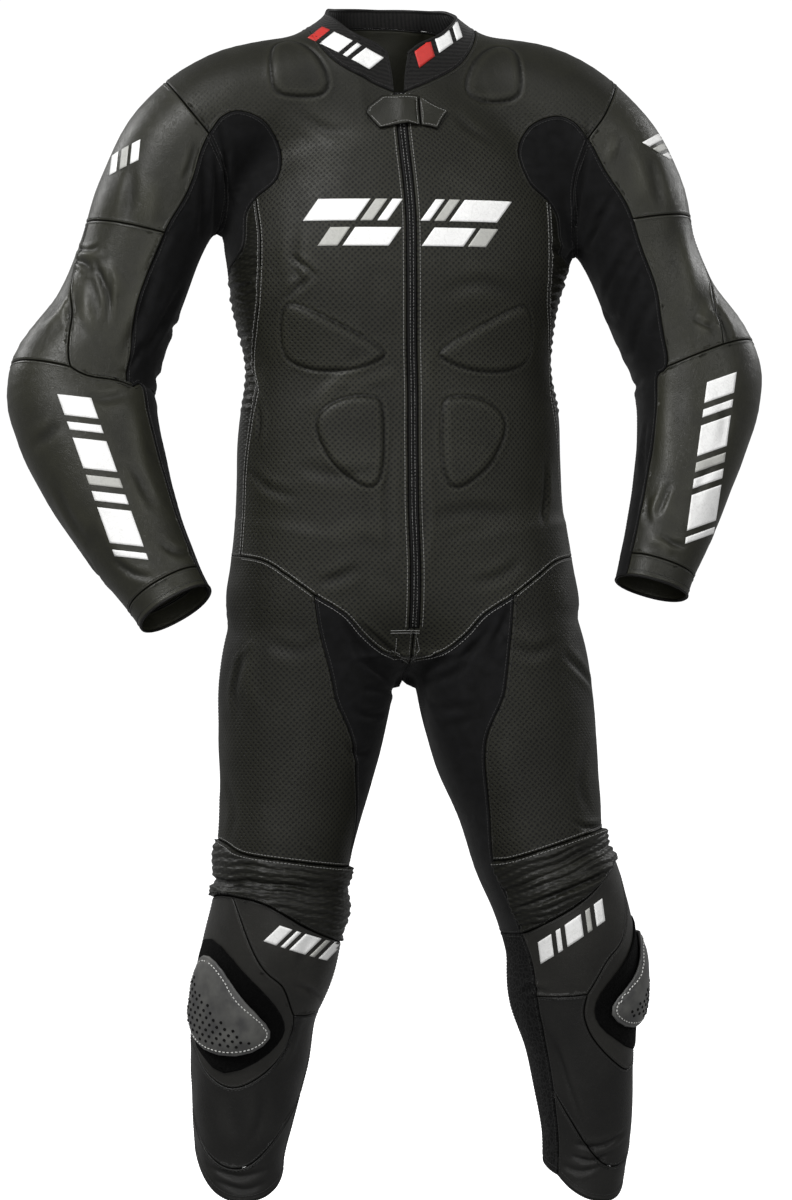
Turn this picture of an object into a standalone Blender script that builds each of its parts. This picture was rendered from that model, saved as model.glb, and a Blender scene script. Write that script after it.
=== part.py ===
"""Motorcycle race suit, one piece, filled out as if worn, with nothing inside it.

Frame: +Z up, the suit faces -Y. The origin is between the shoulders at the base of the neck, where
the wearer's shoulders carry the suit. The tables are in millimetres; the meshes are in metres.

The form is one smooth surface: five tubes (torso, arms, legs), each a table of sections along an
axis, blended where they meet. Seams are curves on that surface. They end at named points, and a
panel is the list of points that its seams join. Each panel is a wall cut from the surface, with a
gap to its neighbours at the seams.
"""

import math
from collections import namedtuple

import bmesh
import bpy
import numpy as np
from mathutils import Vector
from mathutils.geometry import delaunay_2d_cdt

MM = 0.001

# Walls and gaps
LEATHER = 2.0
STRETCH = 1.5
HOOK_TAPE = 1.6
SEAM_GAP = 0.3

# Meshes
SEAM_STEP = 36.0  # longest piece of a seam
SEAM_TURN = 0.32  # most that a seam turns at one of its points, in radians
LEAST_STEP = 12.0
LEAST_DEPTH = 3.0  # from a seam to the first point inside the panel
FINE_STEP = 15.0
GRID = 40.0
RIB_STEP = 24.0

# Body
YAW = math.radians(8)  # the chest is turned this far to +X
BLEND = 42.0  # radius of the blend at shoulders and hips
CROTCH_BLEND = 14.0
SECTION_POWER = 2.2  # 2 is an ellipse, more is squarer

# Each section: place of the axis, half width, depth in front of and behind the axis, and the
# direction that the section's front faces, in degrees from -Y towards +X.
Section = namedtuple("Section", "x y z half front back turn")

TORSO = (
    Section(-23, 14, 92, 66, 58, 62, 8),
    Section(-22, 13, 50, 73, 66, 68, 8),
    Section(-21, 12, 22, 92, 76, 78, 8),
    Section(-20, 10, -20, 104, 84, 88, 8),
    Section(-20, 10, -60, 118, 92, 94, 8),
    Section(-18, 8, -110, 155, 104, 106, 8),
    Section(-13, 5, -170, 192, 122, 120, 8),
    Section(-10, 2, -240, 206, 132, 124, 8),
    Section(-11, 0, -300, 200, 131, 120, 8),
    Section(-8, 0, -380, 185, 120, 110, 8),
    Section(-7, 0, -450, 194, 118, 108, 8),
    Section(-7, 2, -540, 198, 120, 116, 8),
    Section(-4, 4, -620, 203, 118, 128, 8),
    Section(-4, 6, -680, 196, 108, 128, 8),
    Section(-3, 8, -722, 120, 84, 104, 8),
)
ARM_LEFT = (
    Section(-60, -23, -44, 62, 62, 66, 10),
    Section(-130, -23, -54, 68, 70, 74, 10),
    Section(-205, -23, -78, 75, 78, 82, 10),
    Section(-262, -25, -124, 77, 80, 82, 10),
    Section(-300, -27, -190, 73, 76, 78, 10),
    Section(-325, -29, -262, 71, 70, 74, 10),
    Section(-353, -31, -332, 73, 70, 78, 10),
    Section(-386, -35, -402, 89, 76, 86, 10),
    Section(-383, -47, -448, 87, 74, 84, 10),
    Section(-362, -65, -508, 79, 68, 74, 10),
    Section(-328, -87, -581, 64, 60, 64, 10),
    Section(-287, -111, -650, 50, 49, 51, 10),
    Section(-263, -125, -690, 47, 45, 47, 10),
    Section(-241, -137, -730, 45, 43, 45, 10),
)
ARM_RIGHT = (
    Section(20, 39, -38, 62, 62, 66, 10),
    Section(92, 39, -48, 68, 70, 74, 10),
    Section(166, 39, -68, 74, 78, 82, 10),
    Section(226, 37, -116, 76, 80, 82, 10),
    Section(266, 35, -176, 73, 76, 78, 10),
    Section(288, 33, -250, 67, 70, 74, 10),
    Section(316, 31, -316, 68, 70, 78, 10),
    Section(351, 27, -378, 76, 74, 84, 10),
    Section(356, 19, -420, 75, 73, 82, 10),
    Section(346, 1, -480, 65, 64, 70, 10),
    Section(326, -21, -556, 54, 55, 58, 10),
    Section(304, -41, -622, 46, 46, 48, 10),
    Section(291, -53, -668, 44, 43, 45, 10),
    Section(280, -63, -708, 43, 42, 44, 10),
)
LEG_LEFT = (
    Section(-92, -4, -600, 84, 90, 100, 8),
    Section(-110, -6, -690, 98, 102, 116, 8),
    Section(-119, -10, -762, 104, 102, 112, 10),
    Section(-127, -16, -835, 98, 98, 100, 10),
    Section(-137, -24, -908, 86, 92, 90, 14),
    Section(-147, -34, -972, 78, 88, 78, 19),
    Section(-153, -36, -1035, 78, 86, 70, 24),
    Section(-166, -28, -1095, 80, 82, 72, 25),
    Section(-181, -16, -1155, 73, 72, 80, 25),
    Section(-187, -4, -1220, 69, 64, 78, 22),
    Section(-196, 8, -1289, 60, 56, 66, 20),
    Section(-200, 16, -1340, 53, 50, 56, 20),
    Section(-198, 20, -1400, 49, 48, 52, 20),
)
LEG_RIGHT = (
    Section(88, 12, -600, 84, 90, 100, 8),
    Section(106, 10, -690, 99, 102, 116, 8),
    Section(119, 6, -762, 105, 102, 112, 10),
    Section(132, 0, -835, 100, 98, 100, 10),
    Section(148, -8, -904, 87, 92, 90, 14),
    Section(159, -18, -962, 79, 88, 78, 19),
    Section(182, -20, -1020, 78, 86, 70, 24),
    Section(198, -14, -1078, 76, 82, 72, 25),
    Section(204, -2, -1138, 76, 72, 80, 25),
    Section(213, 10, -1206, 63, 64, 76, 22),
    Section(220, 24, -1289, 55, 54, 62, 20),
    Section(219, 32, -1340, 50, 48, 54, 20),
    Section(214, 36, -1400, 46, 46, 50, 20),
)

# Bodice chart: rays leave the torso's axis level up to this height, and fan out to the neck above it.
FAN_Z = -150.0
TORSO_RADIUS = 175.0
CHART_SHIFT = 55.0  # the front's rays leave this far behind the axis, and the back's before it
LIMB_RADIUS = 66.0
STATION = 66.0  # distance between a limb's sections on its chart

# Named points. face says how a point is found on the cloth:
#   front, back: a across from the centre line, b height
#   top, armpit, under: a across from the centre line, b depth (+Y)
#   ring:        a angle from the front in degrees, b height
#   arm, leg:    a angle from the limb's front towards its outer side, b station along its sections
Spot = namedtuple("Spot", "name face a b")

SPOTS = (
    Spot("neck_front", "front", 6, -60),
    Spot("neck_side", "top", 104, 10),
    Spot("collar_front", "front", 12, -13),
    Spot("zip_foot", "front", 6, -699),
    Spot("shoulder", "top", 270, 8),
    Spot("armhole_front", "front", 228, -112),
    Spot("armhole_back", "back", 228, -118),
    Spot("armpit", "armpit", 221, 3),
    Spot("side_top", "ring", 93, -276),
    Spot("lobe_foot", "front", 176, -186),
    Spot("waist_side", "ring", 107, -430),
    Spot("hip_front", "ring", 80, -613),
    Spot("hip_back", "ring", 106, -613),
    Spot("thigh_corner", "front", 119, -660),
    Spot("seat_corner", "back", 70, -678),
    Spot("mid_front", "arm", -12, 4.45),
    Spot("mid_cup", "arm", 80, 4.6),
    Spot("mid_back", "arm", 208, 4.45),
    Spot("elbow_front", "arm", -38, 7.0),
    Spot("elbow_cup", "arm", 20, 7.0),
    Spot("elbow_back", "arm", 222, 7.0),
    Spot("cuff_front", "arm", -60, 11.1),
    Spot("cuff_back", "arm", 252, 11.1),
    Spot("cuff_end_front", "arm", -60, 11.6),
    Spot("cuff_end_back", "arm", 252, 11.6),
    Spot("cuff_inner", "arm", -84, 11.6),
    Spot("pleat_outer", "leg", 115, 4.85),
    Spot("pleat_inner", "leg", -62, 5.05),
    Spot("knee_outer", "leg", 115, 6.0),
    Spot("knee_arc", "leg", 66, 5.8),
    Spot("knee_inner", "leg", -66, 6.4),
    Spot("knee_back", "leg", -126, 6.4),
    Spot("cup_inner", "leg", -15, 7.75),
    Spot("calf_front", "leg", -62, 7.75),
    Spot("cup_outer", "leg", 115, 8.6),
    Spot("shin_outer", "leg", 115, 9.95),
    Spot("shin_inner", "leg", -62, 9.45),
    Spot("hem_outer", "leg", 115, 10.75),
    Spot("hem_inner", "leg", -62, 11.35),
    Spot("hem_back", "leg", -126, 11.15),
)
# Points on the centre line, shared by the two sides.
CENTRE_SPOTS = (
    Spot("neck_nape", "back", 0, 36),
    Spot("collar_nape", "back", 0, 57),
    Spot("yoke_middle", "back", 0, -150),
    Spot("waist_middle", "back", 0, -430),
    Spot("zip_end", "front", 0, -699),
    Spot("crotch_front", "front", 0, -738),
    Spot("seat", "back", 0, -702),
)

# Seams: the two points that a seam joins, and the places that it passes, in the form of a Spot.
# A seam on a limb's chart bends smoothly there; one marked free bends in space.
Seam = namedtuple("Seam", "start end chart via")

SEAMS = (
    Seam("neck_front", "neck_side", "free", (
        ("front", 36, -47), ("front", 72, -27), ("front", 92, -4), ("top", 103, -20))),
    Seam("neck_side", "neck_nape", "free", (("back", 84, 28), ("back", 45, 34))),
    Seam("collar_front", "collar_nape", "free", (
        ("front", 27, -1), ("front", 58, 15), ("ring", 74, 40), ("ring", 100, 50),
        ("back", 58, 54), ("back", 28, 57))),
    Seam("neck_front", "collar_front", "free", (("front", 8, -36),)),
    Seam("neck_front", "zip_foot", "free", tuple(("front", 6, -60 - 71 * k) for k in range(1, 9))),
    Seam("zip_end", "zip_foot", "free", ()),
    Seam("zip_end", "crotch_front", "free", ()),
    Seam("neck_side", "shoulder", "free", (("top", 150, 10), ("top", 210, 9))),
    Seam("shoulder", "armhole_front", "free", (("front", 256, -74),)),
    Seam("armhole_front", "armpit", "free", (("front", 210, -165), ("front", 212, -206))),
    Seam("shoulder", "armhole_back", "free", (("back", 254, -78),)),
    Seam("armhole_back", "armpit", "free", (("back", 212, -170), ("back", 214, -208))),
    Seam("armhole_back", "yoke_middle", "free", (("back", 150, -132), ("back", 75, -146))),
    Seam("armhole_front", "lobe_foot", "free", (
        ("front", 212, -92), ("front", 190, -85), ("front", 160, -98), ("front", 143, -133),
        ("front", 153, -166))),
    Seam("lobe_foot", "side_top", "free", (("front", 188, -206), ("ring", 75, -248))),
    Seam("armpit", "side_top", "free", (("ring", 93, -262),)),
    Seam("lobe_foot", "hip_front", "free", (
        ("front", 175, -240), ("front", 175, -302), ("front", 178, -339), ("front", 180, -381),
        ("ring", 76, -423), ("ring", 79, -500), ("ring", 80, -560))),
    Seam("side_top", "waist_side", "free", (("ring", 103, -325), ("ring", 107, -380))),
    Seam("waist_side", "hip_back", "free", (("ring", 107, -490), ("ring", 106, -550))),
    Seam("waist_side", "waist_middle", "free", (("back", 150, -430), ("back", 75, -430))),
    Seam("hip_front", "hip_back", "free", ()),
    Seam("hip_front", "thigh_corner", "free", (("front", 176, -619), ("front", 151, -636))),
    Seam("thigh_corner", "crotch_front", "free", (
        ("front", 84, -682), ("front", 60, -708), ("front", 34, -728))),
    Seam("hip_back", "seat_corner", "free", (("back", 160, -632), ("back", 115, -656))),
    Seam("seat_corner", "seat", "free", (("back", 35, -694),)),
    Seam("crotch_front", "seat", "free", (
        ("under", 0, -18), ("under", 0, 24), ("under", 0, 66))),
    Seam("armhole_front", "mid_front", "arm", (("arm", -16, 3.6),)),
    Seam("armhole_back", "mid_back", "arm", (("arm", 204, 3.6),)),
    Seam("mid_front", "mid_cup", "arm", (("arm", 35, 4.52),)),
    Seam("mid_cup", "mid_back", "arm", (("arm", 140, 4.6),)),
    Seam("mid_front", "elbow_front", "arm", (("arm", -11, 5.6), ("arm", -28, 6.5))),
    Seam("mid_back", "elbow_back", "arm", (("arm", 210, 5.6),)),
    Seam("mid_cup", "elbow_cup", "arm", (("arm", 72, 5.4), ("arm", 40, 6.3))),
    Seam("elbow_front", "elbow_cup", "arm", ()),
    Seam("elbow_cup", "elbow_back", "arm", (("arm", 90, 7.05), ("arm", 160, 7.05))),
    Seam("elbow_front", "cuff_front", "arm", (("arm", -54, 7.8), ("arm", -60, 9.5))),
    Seam("elbow_back", "cuff_back", "arm", (("arm", 240, 8.0), ("arm", 250, 9.5))),
    Seam("cuff_front", "cuff_back", "arm", (("arm", 20, 11.1), ("arm", 100, 11.1), ("arm", 180, 11.1))),
    Seam("cuff_end_front", "cuff_end_back", "arm", (
        ("arm", 20, 11.6), ("arm", 100, 11.6), ("arm", 180, 11.6))),
    Seam("cuff_front", "cuff_end_front", "arm", ()),
    Seam("cuff_back", "cuff_end_back", "arm", ()),
    Seam("thigh_corner", "pleat_inner", "leg", (
        ("leg", -8, 2.0), ("leg", -14, 2.4), ("leg", -30, 3.0), ("leg", -44, 3.9), ("leg", -54, 4.6))),
    Seam("seat_corner", "knee_back", "leg", (("leg", -150, 2.2), ("leg", -140, 3.6), ("leg", -130, 5.2))),
    Seam("hip_back", "pleat_outer", "leg", (("leg", 108, 1.6), ("leg", 112, 3.2))),
    Seam("pleat_outer", "pleat_inner", "leg", (
        ("leg", 80, 4.95), ("leg", 50, 5.1), ("leg", 0, 5.14), ("leg", -40, 5.12))),
    Seam("pleat_outer", "knee_outer", "leg", ()),
    Seam("pleat_inner", "knee_inner", "leg", ()),
    Seam("knee_outer", "knee_arc", "leg", (("leg", 90, 5.85),)),
    Seam("knee_arc", "knee_inner", "leg", (("leg", 35, 5.84), ("leg", 0, 6.1), ("leg", -36, 6.28))),
    Seam("knee_inner", "knee_back", "leg", ()),
    Seam("knee_outer", "knee_back", "leg", (("leg", 150, 6.3), ("leg", 190, 6.4))),
    Seam("knee_arc", "cup_inner", "leg", (("leg", 28, 6.86), ("leg", 4, 7.2))),
    Seam("cup_inner", "cup_outer", "leg", (
        ("leg", -19, 8.2), ("leg", -11, 8.66), ("leg", 10, 9.07), ("leg", 36, 9.3), ("leg", 64, 9.18),
        ("leg", 92, 8.85))),
    Seam("cup_inner", "calf_front", "leg", ()),
    Seam("knee_inner", "calf_front", "leg", ()),
    Seam("calf_front", "shin_inner", "leg", ()),
    Seam("shin_inner", "hem_inner", "leg", ()),
    Seam("knee_back", "hem_back", "leg", (("leg", -124, 8.0), ("leg", -124, 9.6))),
    Seam("knee_outer", "cup_outer", "leg", ()),
    Seam("cup_outer", "shin_outer", "leg", ()),
    Seam("shin_outer", "hem_outer", "leg", ()),
    Seam("shin_outer", "shin_inner", "leg", (
        ("leg", 100, 10.1), ("leg", 66, 10.75), ("leg", 30, 11.08), ("leg", -4, 10.88),
        ("leg", -42, 9.9))),
    Seam("hem_outer", "hem_inner", "leg", (
        ("leg", 85, 11.2), ("leg", 55, 11.6), ("leg", 25, 11.78), ("leg", -10, 11.76), ("leg", -38, 11.6))),
    Seam("hem_inner", "hem_back", "leg", ()),
    Seam("hem_outer", "hem_back", "leg", (("leg", 150, 10.8), ("leg", 190, 11.0))),
)

# Panels: cloth, the chart that the panel is laid out on, and its corner points in order. A point of
# the other side starts with "-".
Panel = namedtuple("Panel", "name cloth chart corners")

CENTRE_PANELS = (
    Panel("collar", "trim", "torso", (
        "neck_front", "neck_side", "neck_nape", "-neck_side", "-neck_front", "-collar_front",
        "collar_nape", "collar_front")),
    Panel("zip_tape", "zip", "torso", (
        "neck_front", "zip_foot", "zip_end", "-zip_foot", "-neck_front")),
    Panel("yoke", "leather", "nape", (
        "neck_side", "neck_nape", "-neck_side", "-shoulder", "-armhole_back", "yoke_middle",
        "armhole_back", "shoulder")),
    Panel("back", "leather", "nape", (
        "armhole_back", "yoke_middle", "-armhole_back", "-armpit", "-side_top", "-waist_side",
        "waist_middle", "waist_side", "side_top", "armpit")),
    Panel("seat", "leather", "nape", (
        "waist_side", "waist_middle", "-waist_side", "-hip_back", "-seat_corner", "seat",
        "seat_corner", "hip_back")),
)
SIDE_PANELS = (
    Panel("front", "perforated", "chest", (
        "neck_front", "neck_side", "shoulder", "armhole_front", "lobe_foot", "hip_front",
        "thigh_corner", "crotch_front", "zip_end", "zip_foot")),
    Panel("underarm", "stretch", "flat", ("armhole_front", "lobe_foot", "side_top", "armpit")),
    Panel("side", "ribbed", "torso", (
        "side_top", "lobe_foot", "hip_front", "hip_back", "waist_side")),
    Panel("upper_sleeve", "leather", "arm", (
        "shoulder", "armhole_front", "mid_front", "mid_cup", "mid_back", "armhole_back")),
    Panel("inner_sleeve", "stretch", "arm", (
        "armhole_front", "mid_front", "elbow_front", "cuff_front", "cuff_end_front",
        "cuff_inner", "cuff_end_back", "cuff_back", "elbow_back", "mid_back", "armhole_back", "armpit")),
    Panel("mid_sleeve", "leather", "arm", ("mid_front", "mid_cup", "elbow_cup", "elbow_front")),
    Panel("elbow", "leather", "arm", ("mid_cup", "mid_back", "elbow_back", "elbow_cup")),
    Panel("forearm", "leather", "arm", (
        "elbow_front", "elbow_cup", "elbow_back", "cuff_back", "cuff_front")),
    Panel("cuff", "leather", "arm", ("cuff_front", "cuff_back", "cuff_end_back", "cuff_end_front")),
    Panel("thigh_front", "perforated", "leg", (
        "hip_front", "hip_back", "pleat_outer", "pleat_inner", "thigh_corner")),
    Panel("thigh_back", "leather", "leg", (
        "hip_back", "seat_corner", "knee_back", "knee_outer", "pleat_outer")),
    Panel("inner_thigh", "stretch", "leg", (
        "thigh_corner", "crotch_front", "seat", "seat_corner", "knee_back", "knee_inner",
        "pleat_inner")),
    Panel("knee_pleats", "ribbed", "leg", (
        "pleat_outer", "pleat_inner", "knee_inner", "knee_arc", "knee_outer")),
    Panel("knee_inner", "leather", "leg", ("knee_arc", "knee_inner", "calf_front", "cup_inner")),
    Panel("knee_cup", "leather", "leg", ("knee_outer", "knee_arc", "cup_inner", "cup_outer")),
    Panel("shin", "leather", "leg", (
        "cup_inner", "cup_outer", "shin_outer", "shin_inner", "calf_front")),
    Panel("ankle", "leather", "leg", ("shin_outer", "shin_inner", "hem_inner", "hem_outer")),
    Panel("calf_stretch", "stretch", "leg", (
        "knee_inner", "calf_front", "shin_inner", "hem_inner", "hem_back", "knee_back")),
    Panel("calf_back", "leather", "leg", (
        "knee_outer", "cup_outer", "shin_outer", "hem_outer", "hem_back", "knee_back")),
)

# Quilted pads, raised in the outside of the wall. Outline as spots, seen square to the face.
Pad = namedtuple("Pad", "panel rise edge outline")
PADS = (
    Pad("front", 4.5, 7, (
        ("front", 35, -370), ("front", 88, -338), ("front", 140, -315), ("front", 151, -341),
        ("front", 146, -375), ("front", 122, -391), ("front", 83, -394), ("front", 47, -385))),
    Pad("front", 4.5, 7, (
        ("front", 36, -438), ("front", 52, -424), ("front", 86, -428), ("front", 110, -445),
        ("front", 112, -469), ("front", 90, -508), ("front", 52, -532), ("front", 36, -508))),
    Pad("front", 3.5, 7, (
        ("front", 90, -30), ("front", 106, -8), ("front", 128, 2), ("front", 148, -6),
        ("front", 152, -46), ("front", 141, -64), ("front", 100, -66), ("front", 85, -54))),
)

# Ribs across a panel: chart heights between which they run, measured as the chart measures them.
Ribs = namedtuple("Ribs", "panel pitch rise low high")
RIBS = (
    Ribs("side", 10.0, 2.2, -440.0, -250.0),
    Ribs("knee_pleats", 8.0, 2.6, 4.8 * STATION, 6.5 * STATION),
)
PLEAT_PUFF = 5.0  # the knee pleats swell this far above and below their deepest fold
PLEAT_PERIOD = 48.0

# What lies on a panel: cloth, chart, clearance, thickness at the edge and in the middle, outline.
Patch = namedtuple("Patch", "name cloth chart lift edge middle outline")
NECK_TAB_SPLIT = 22
PATCHES = (
    Patch("neck_tab_outer", "leather", "torso", 2.0, 2.0, 2.6, (
        ("front", -42, -87), ("front", -39, -79), ("front", -21, -65), ("front", NECK_TAB_SPLIT, -66),
        ("front", NECK_TAB_SPLIT, -102), ("front", 7, -100), ("front", -27, -106))),
    Patch("neck_tab_inner", "leather", "torso", 2.0, 1.6, 1.6, (
        ("front", NECK_TAB_SPLIT + 0.6, -66), ("front", 57, -83), ("front", 42, -106),
        ("front", NECK_TAB_SPLIT + 0.6, -102))),
)
SIDE_PATCHES = (
    Patch("knee_hook_tape", "velcro", "leg", 0.8, HOOK_TAPE, HOOK_TAPE, (
        ("leg", 98, 6.85), ("leg", 66, 6.76), ("leg", 38, 7.08), ("leg", 14, 7.42), ("leg", -2, 7.75),
        ("leg", -9, 8.12), ("leg", -4, 8.45), ("leg", 14, 8.76), ("leg", 46, 9.05), ("leg", 72, 8.86),
        ("leg", 98, 8.5), ("leg", 107, 7.7))),
    Patch("knee_slider", "plastic", "leg", 4.2, 4.0, 10.0, (
        ("leg", 74, 7.02), ("leg", 90, 7.2), ("leg", 100, 7.7), ("leg", 101, 8.2), ("leg", 84, 8.55),
        ("leg", 52, 8.68), ("leg", 22, 8.56), ("leg", 7, 8.26), ("leg", 13, 7.92), ("leg", 36, 7.5),
        ("leg", 56, 7.14))),
)
ZIP_SLIDER = Vector((8.0, 12.0, 2.4))
ZIP_SLIDER_Z = -80.0
ZIP_BULGE = 3.6  # the tab rises this far over the zip slider

THICKNESS = {"leather": LEATHER, "perforated": LEATHER, "stretch": STRETCH, "ribbed": LEATHER,
             "trim": LEATHER, "zip": STRETCH}

# Colour, roughness
FINISH = {
    "leather": ((0.030, 0.030, 0.026), 0.45),
    "perforated": ((0.034, 0.034, 0.030), 0.55),
    "ribbed": ((0.022, 0.022, 0.020), 0.60),
    "stretch": ((0.006, 0.006, 0.008), 0.80),
    "trim": ((0.010, 0.010, 0.011), 0.60),
    "zip": ((0.004, 0.004, 0.004), 0.50),
    "velcro": ((0.004, 0.004, 0.004), 0.95),
    "plastic": ((0.012, 0.012, 0.012), 0.40),
    "metal": ((0.25, 0.25, 0.26), 0.35),
}


# --- The surface ---------------------------------------------------------------------------------

PER_STATION = 6


def smooth(rows, per_span):
    """A curve through the rows, per_span pieces between each two."""
    rows = np.asarray(rows, float)
    slope = np.gradient(rows, axis=0)
    u = (np.arange(per_span) / per_span)[:, None]
    spans = [
        a * (1 + 2 * u) * (1 - u) ** 2 + sa * u * (1 - u) ** 2
        + b * u * u * (3 - 2 * u) + sb * u * u * (u - 1)
        for a, b, sa, sb in zip(rows, rows[1:], slope, slope[1:])
    ]
    return np.vstack(spans + [rows[-1:]])


def smooth_loop(rows, per_span):
    """A closed curve through the rows."""
    rows = np.asarray(rows, float)
    curve = smooth(np.vstack([rows[-2:], rows, rows[:2]]), per_span)
    return curve[2 * per_span:(2 + len(rows)) * per_span]


def unit(v):
    return v / np.maximum(np.linalg.norm(v, axis=-1, keepdims=True), 1e-12)


def dot(a, b):
    return (a * b).sum(-1)


class Tube:
    """Sections along an axis. Its frame: t along the axis, f to the section's front, s across."""

    def __init__(self, sections, end=1.0):
        rows = smooth(sections, PER_STATION)
        self.c, self.size, turn = rows[:, :3], rows[:, 3:6], np.radians(rows[:, 6])
        self.end = end
        self.t = unit(np.gradient(self.c, axis=0))
        f = np.stack([np.sin(turn), -np.cos(turn), 0 * turn], axis=1)
        self.f = unit(f - dot(f, self.t)[:, None] * self.t)
        self.s = np.cross(self.f, self.t)

    def nearest(self, p):
        """The place on the axis, in samples, that is nearest to each point."""
        far = (self.c * self.c).sum(1) - 2 * p @ self.c.T
        k = far.argmin(1)
        place = k.astype(float)
        best = np.full(len(p), np.inf)
        for first in (np.maximum(k - 1, 0), np.minimum(k, len(self.c) - 2)):
            a, d = self.c[first], self.c[first + 1] - self.c[first]
            w = np.clip(dot(p - a, d) / dot(d, d), 0, 1)
            e = dot(p - a - w[:, None] * d, p - a - w[:, None] * d)
            better = e < best
            best = np.where(better, e, best)
            place = np.where(better, first + w, place)
        return place

    def at(self, place, values):
        k = np.clip(place.astype(int), 0, len(values) - 2)
        w = (place - k)[:, None]
        return values[k] * (1 - w) + values[k + 1] * w

    def field(self, p):
        place = self.nearest(p)
        q = p - self.at(place, self.c)
        across = dot(q, unit(self.at(place, self.s)))
        forward = dot(q, unit(self.at(place, self.f)))
        along = dot(q, unit(self.at(place, self.t)))
        half, front, back = self.at(place, self.size).T
        depth = np.where(forward > 0, front, back)
        r = np.hypot(across, forward) + 1e-9
        rho = (np.abs(across / half) ** SECTION_POWER + np.abs(forward / depth) ** SECTION_POWER)
        rho = np.maximum(rho ** (1 / SECTION_POWER), 1e-9)
        return r - r / rho + self.end * np.abs(along)


def blend(a, b, radius):
    near = np.maximum(radius - np.abs(a - b), 0) / radius
    return np.minimum(a, b) - near * near * radius / 4


BODY = Tube(TORSO, end=3.0)
ARMS = {-1: Tube(ARM_LEFT), 1: Tube(ARM_RIGHT)}
LEGS = {-1: Tube(LEG_LEFT), 1: Tube(LEG_RIGHT)}


def field(p):
    """Below 0 inside the suit, 0 on its outer face, and about the distance outside."""
    legs = blend(LEGS[-1].field(p), LEGS[1].field(p), CROTCH_BLEND)
    body = blend(BODY.field(p), legs, BLEND)
    arms = np.minimum(ARMS[-1].field(p), ARMS[1].field(p))
    return blend(body, arms, BLEND)


def gradient(p, step=0.5):
    moves = np.eye(3) * step
    return np.stack([field(p + m) - field(p - m) for m in moves], axis=1) / (2 * step)


def normals(p):
    return unit(gradient(p, 2.0))


def settled(p):
    """The points moved onto the surface."""
    for _ in range(10):
        g = gradient(p)
        p = p - (field(p) / np.maximum(dot(g, g), 0.3))[:, None] * g
    return p


def cast(start, way, inside):
    """Where rays meet the surface: from inside, or coming in from far away."""
    r = np.zeros(len(start))
    for _ in range(120):
        f = field(start + r[:, None] * way)
        r = np.maximum(r + (-0.65 if inside else 0.6) * f, 0)
        if np.abs(f).max() < 0.002:
            break
    return start + r[:, None] * way


# --- Charts --------------------------------------------------------------------------------------

ACROSS = np.array([math.cos(YAW), math.sin(YAW), 0.0])
FORWARD = np.array([math.sin(YAW), -math.cos(YAW), 0.0])
UP = np.array([0.0, 0.0, 1.0])


class TorsoChart:
    """Angle round the torso, and height. Above FAN_Z the height is the angle of a fan of rays."""

    radius = TORSO_RADIUS

    def __init__(self, back=0.0):
        self.shift = -back * FORWARD

    def axis(self, z):
        order = np.argsort(BODY.c[:, 2])
        known = BODY.c[order]
        x, y = (np.interp(z, known[:, 2], known[:, k]) for k in (0, 1))
        return np.stack([x, y, z], axis=1) + self.shift

    def uv(self, p):
        z = np.minimum(p[:, 2], FAN_Z)
        q = p - self.axis(z)
        across, forward = q @ ACROSS, q @ FORWARD
        rise = np.arctan2(p[:, 2] - z, np.hypot(across, forward))
        return np.stack([np.arctan2(across, forward) * self.radius, z + rise * self.radius], axis=1)

    def point(self, uv):
        angle = uv[:, 0] / self.radius
        z = np.minimum(uv[:, 1], FAN_Z)
        rise = ((uv[:, 1] - z) / self.radius)[:, None]
        level = np.sin(angle)[:, None] * ACROSS + np.cos(angle)[:, None] * FORWARD
        return cast(self.axis(z), np.cos(rise) * level + np.sin(rise) * UP, inside=True)


class LimbChart:
    """Angle from the limb's front towards its outer side, and station along its sections."""

    radius = LIMB_RADIUS

    def __init__(self, tube, side):
        self.tube, self.side = tube, side

    def frame(self, place):
        return self.tube.at(place, self.tube.c), [
            unit(self.tube.at(place, v)) for v in (self.tube.t, self.tube.f, self.side * self.tube.s)
        ]

    def uv(self, p):
        place = self.tube.nearest(p)
        for _ in range(4):
            c, (t, f, s) = self.frame(place)
            ahead = self.tube.at(np.clip(place + 0.5, 0, len(self.tube.c) - 1.001), self.tube.c)
            behind = self.tube.at(np.clip(place - 0.5, 0, len(self.tube.c) - 1.001), self.tube.c)
            place = place + 0.8 * dot(p - c, t) / np.linalg.norm(ahead - behind, axis=1)
            place = np.clip(place, 0, len(self.tube.c) - 1.001)
        c, (t, f, s) = self.frame(place)
        angle = np.arctan2(dot(p - c, s), dot(p - c, f))
        return np.stack([angle * self.radius, place * STATION / PER_STATION], axis=1)

    def point(self, uv):
        place = np.clip(uv[:, 1] * PER_STATION / STATION, 0, len(self.tube.c) - 1.001)
        c, (t, f, s) = self.frame(place)
        angle = (uv[:, 0] / self.radius)[:, None]
        return cast(c, np.cos(angle) * f + np.sin(angle) * s, inside=True)


class FlatChart:
    """A panel seen along its middle normal, for one that a ray from an axis would graze."""

    radius = math.inf

    def __init__(self, outline):
        self.outline = outline
        self.way = unit(normals(outline).sum(0))
        self.across = unit(np.cross(UP, self.way))
        self.plane = np.stack([self.across, np.cross(self.way, self.across)])

    def uv(self, p):
        return p @ self.plane.T

    def point(self, uv):
        weight = 1 / (np.linalg.norm(uv[:, None] - self.uv(self.outline), axis=-1) ** 3 + 1e-6)
        p = weight @ self.outline / weight.sum(1, keepdims=True)
        p = p + (uv - self.uv(p)) @ self.plane
        for _ in range(12):
            slope = np.maximum(gradient(p) @ self.way, 0.25)
            p = p - np.clip(field(p) / slope, -12, 12)[:, None] * self.way
        return p


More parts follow.
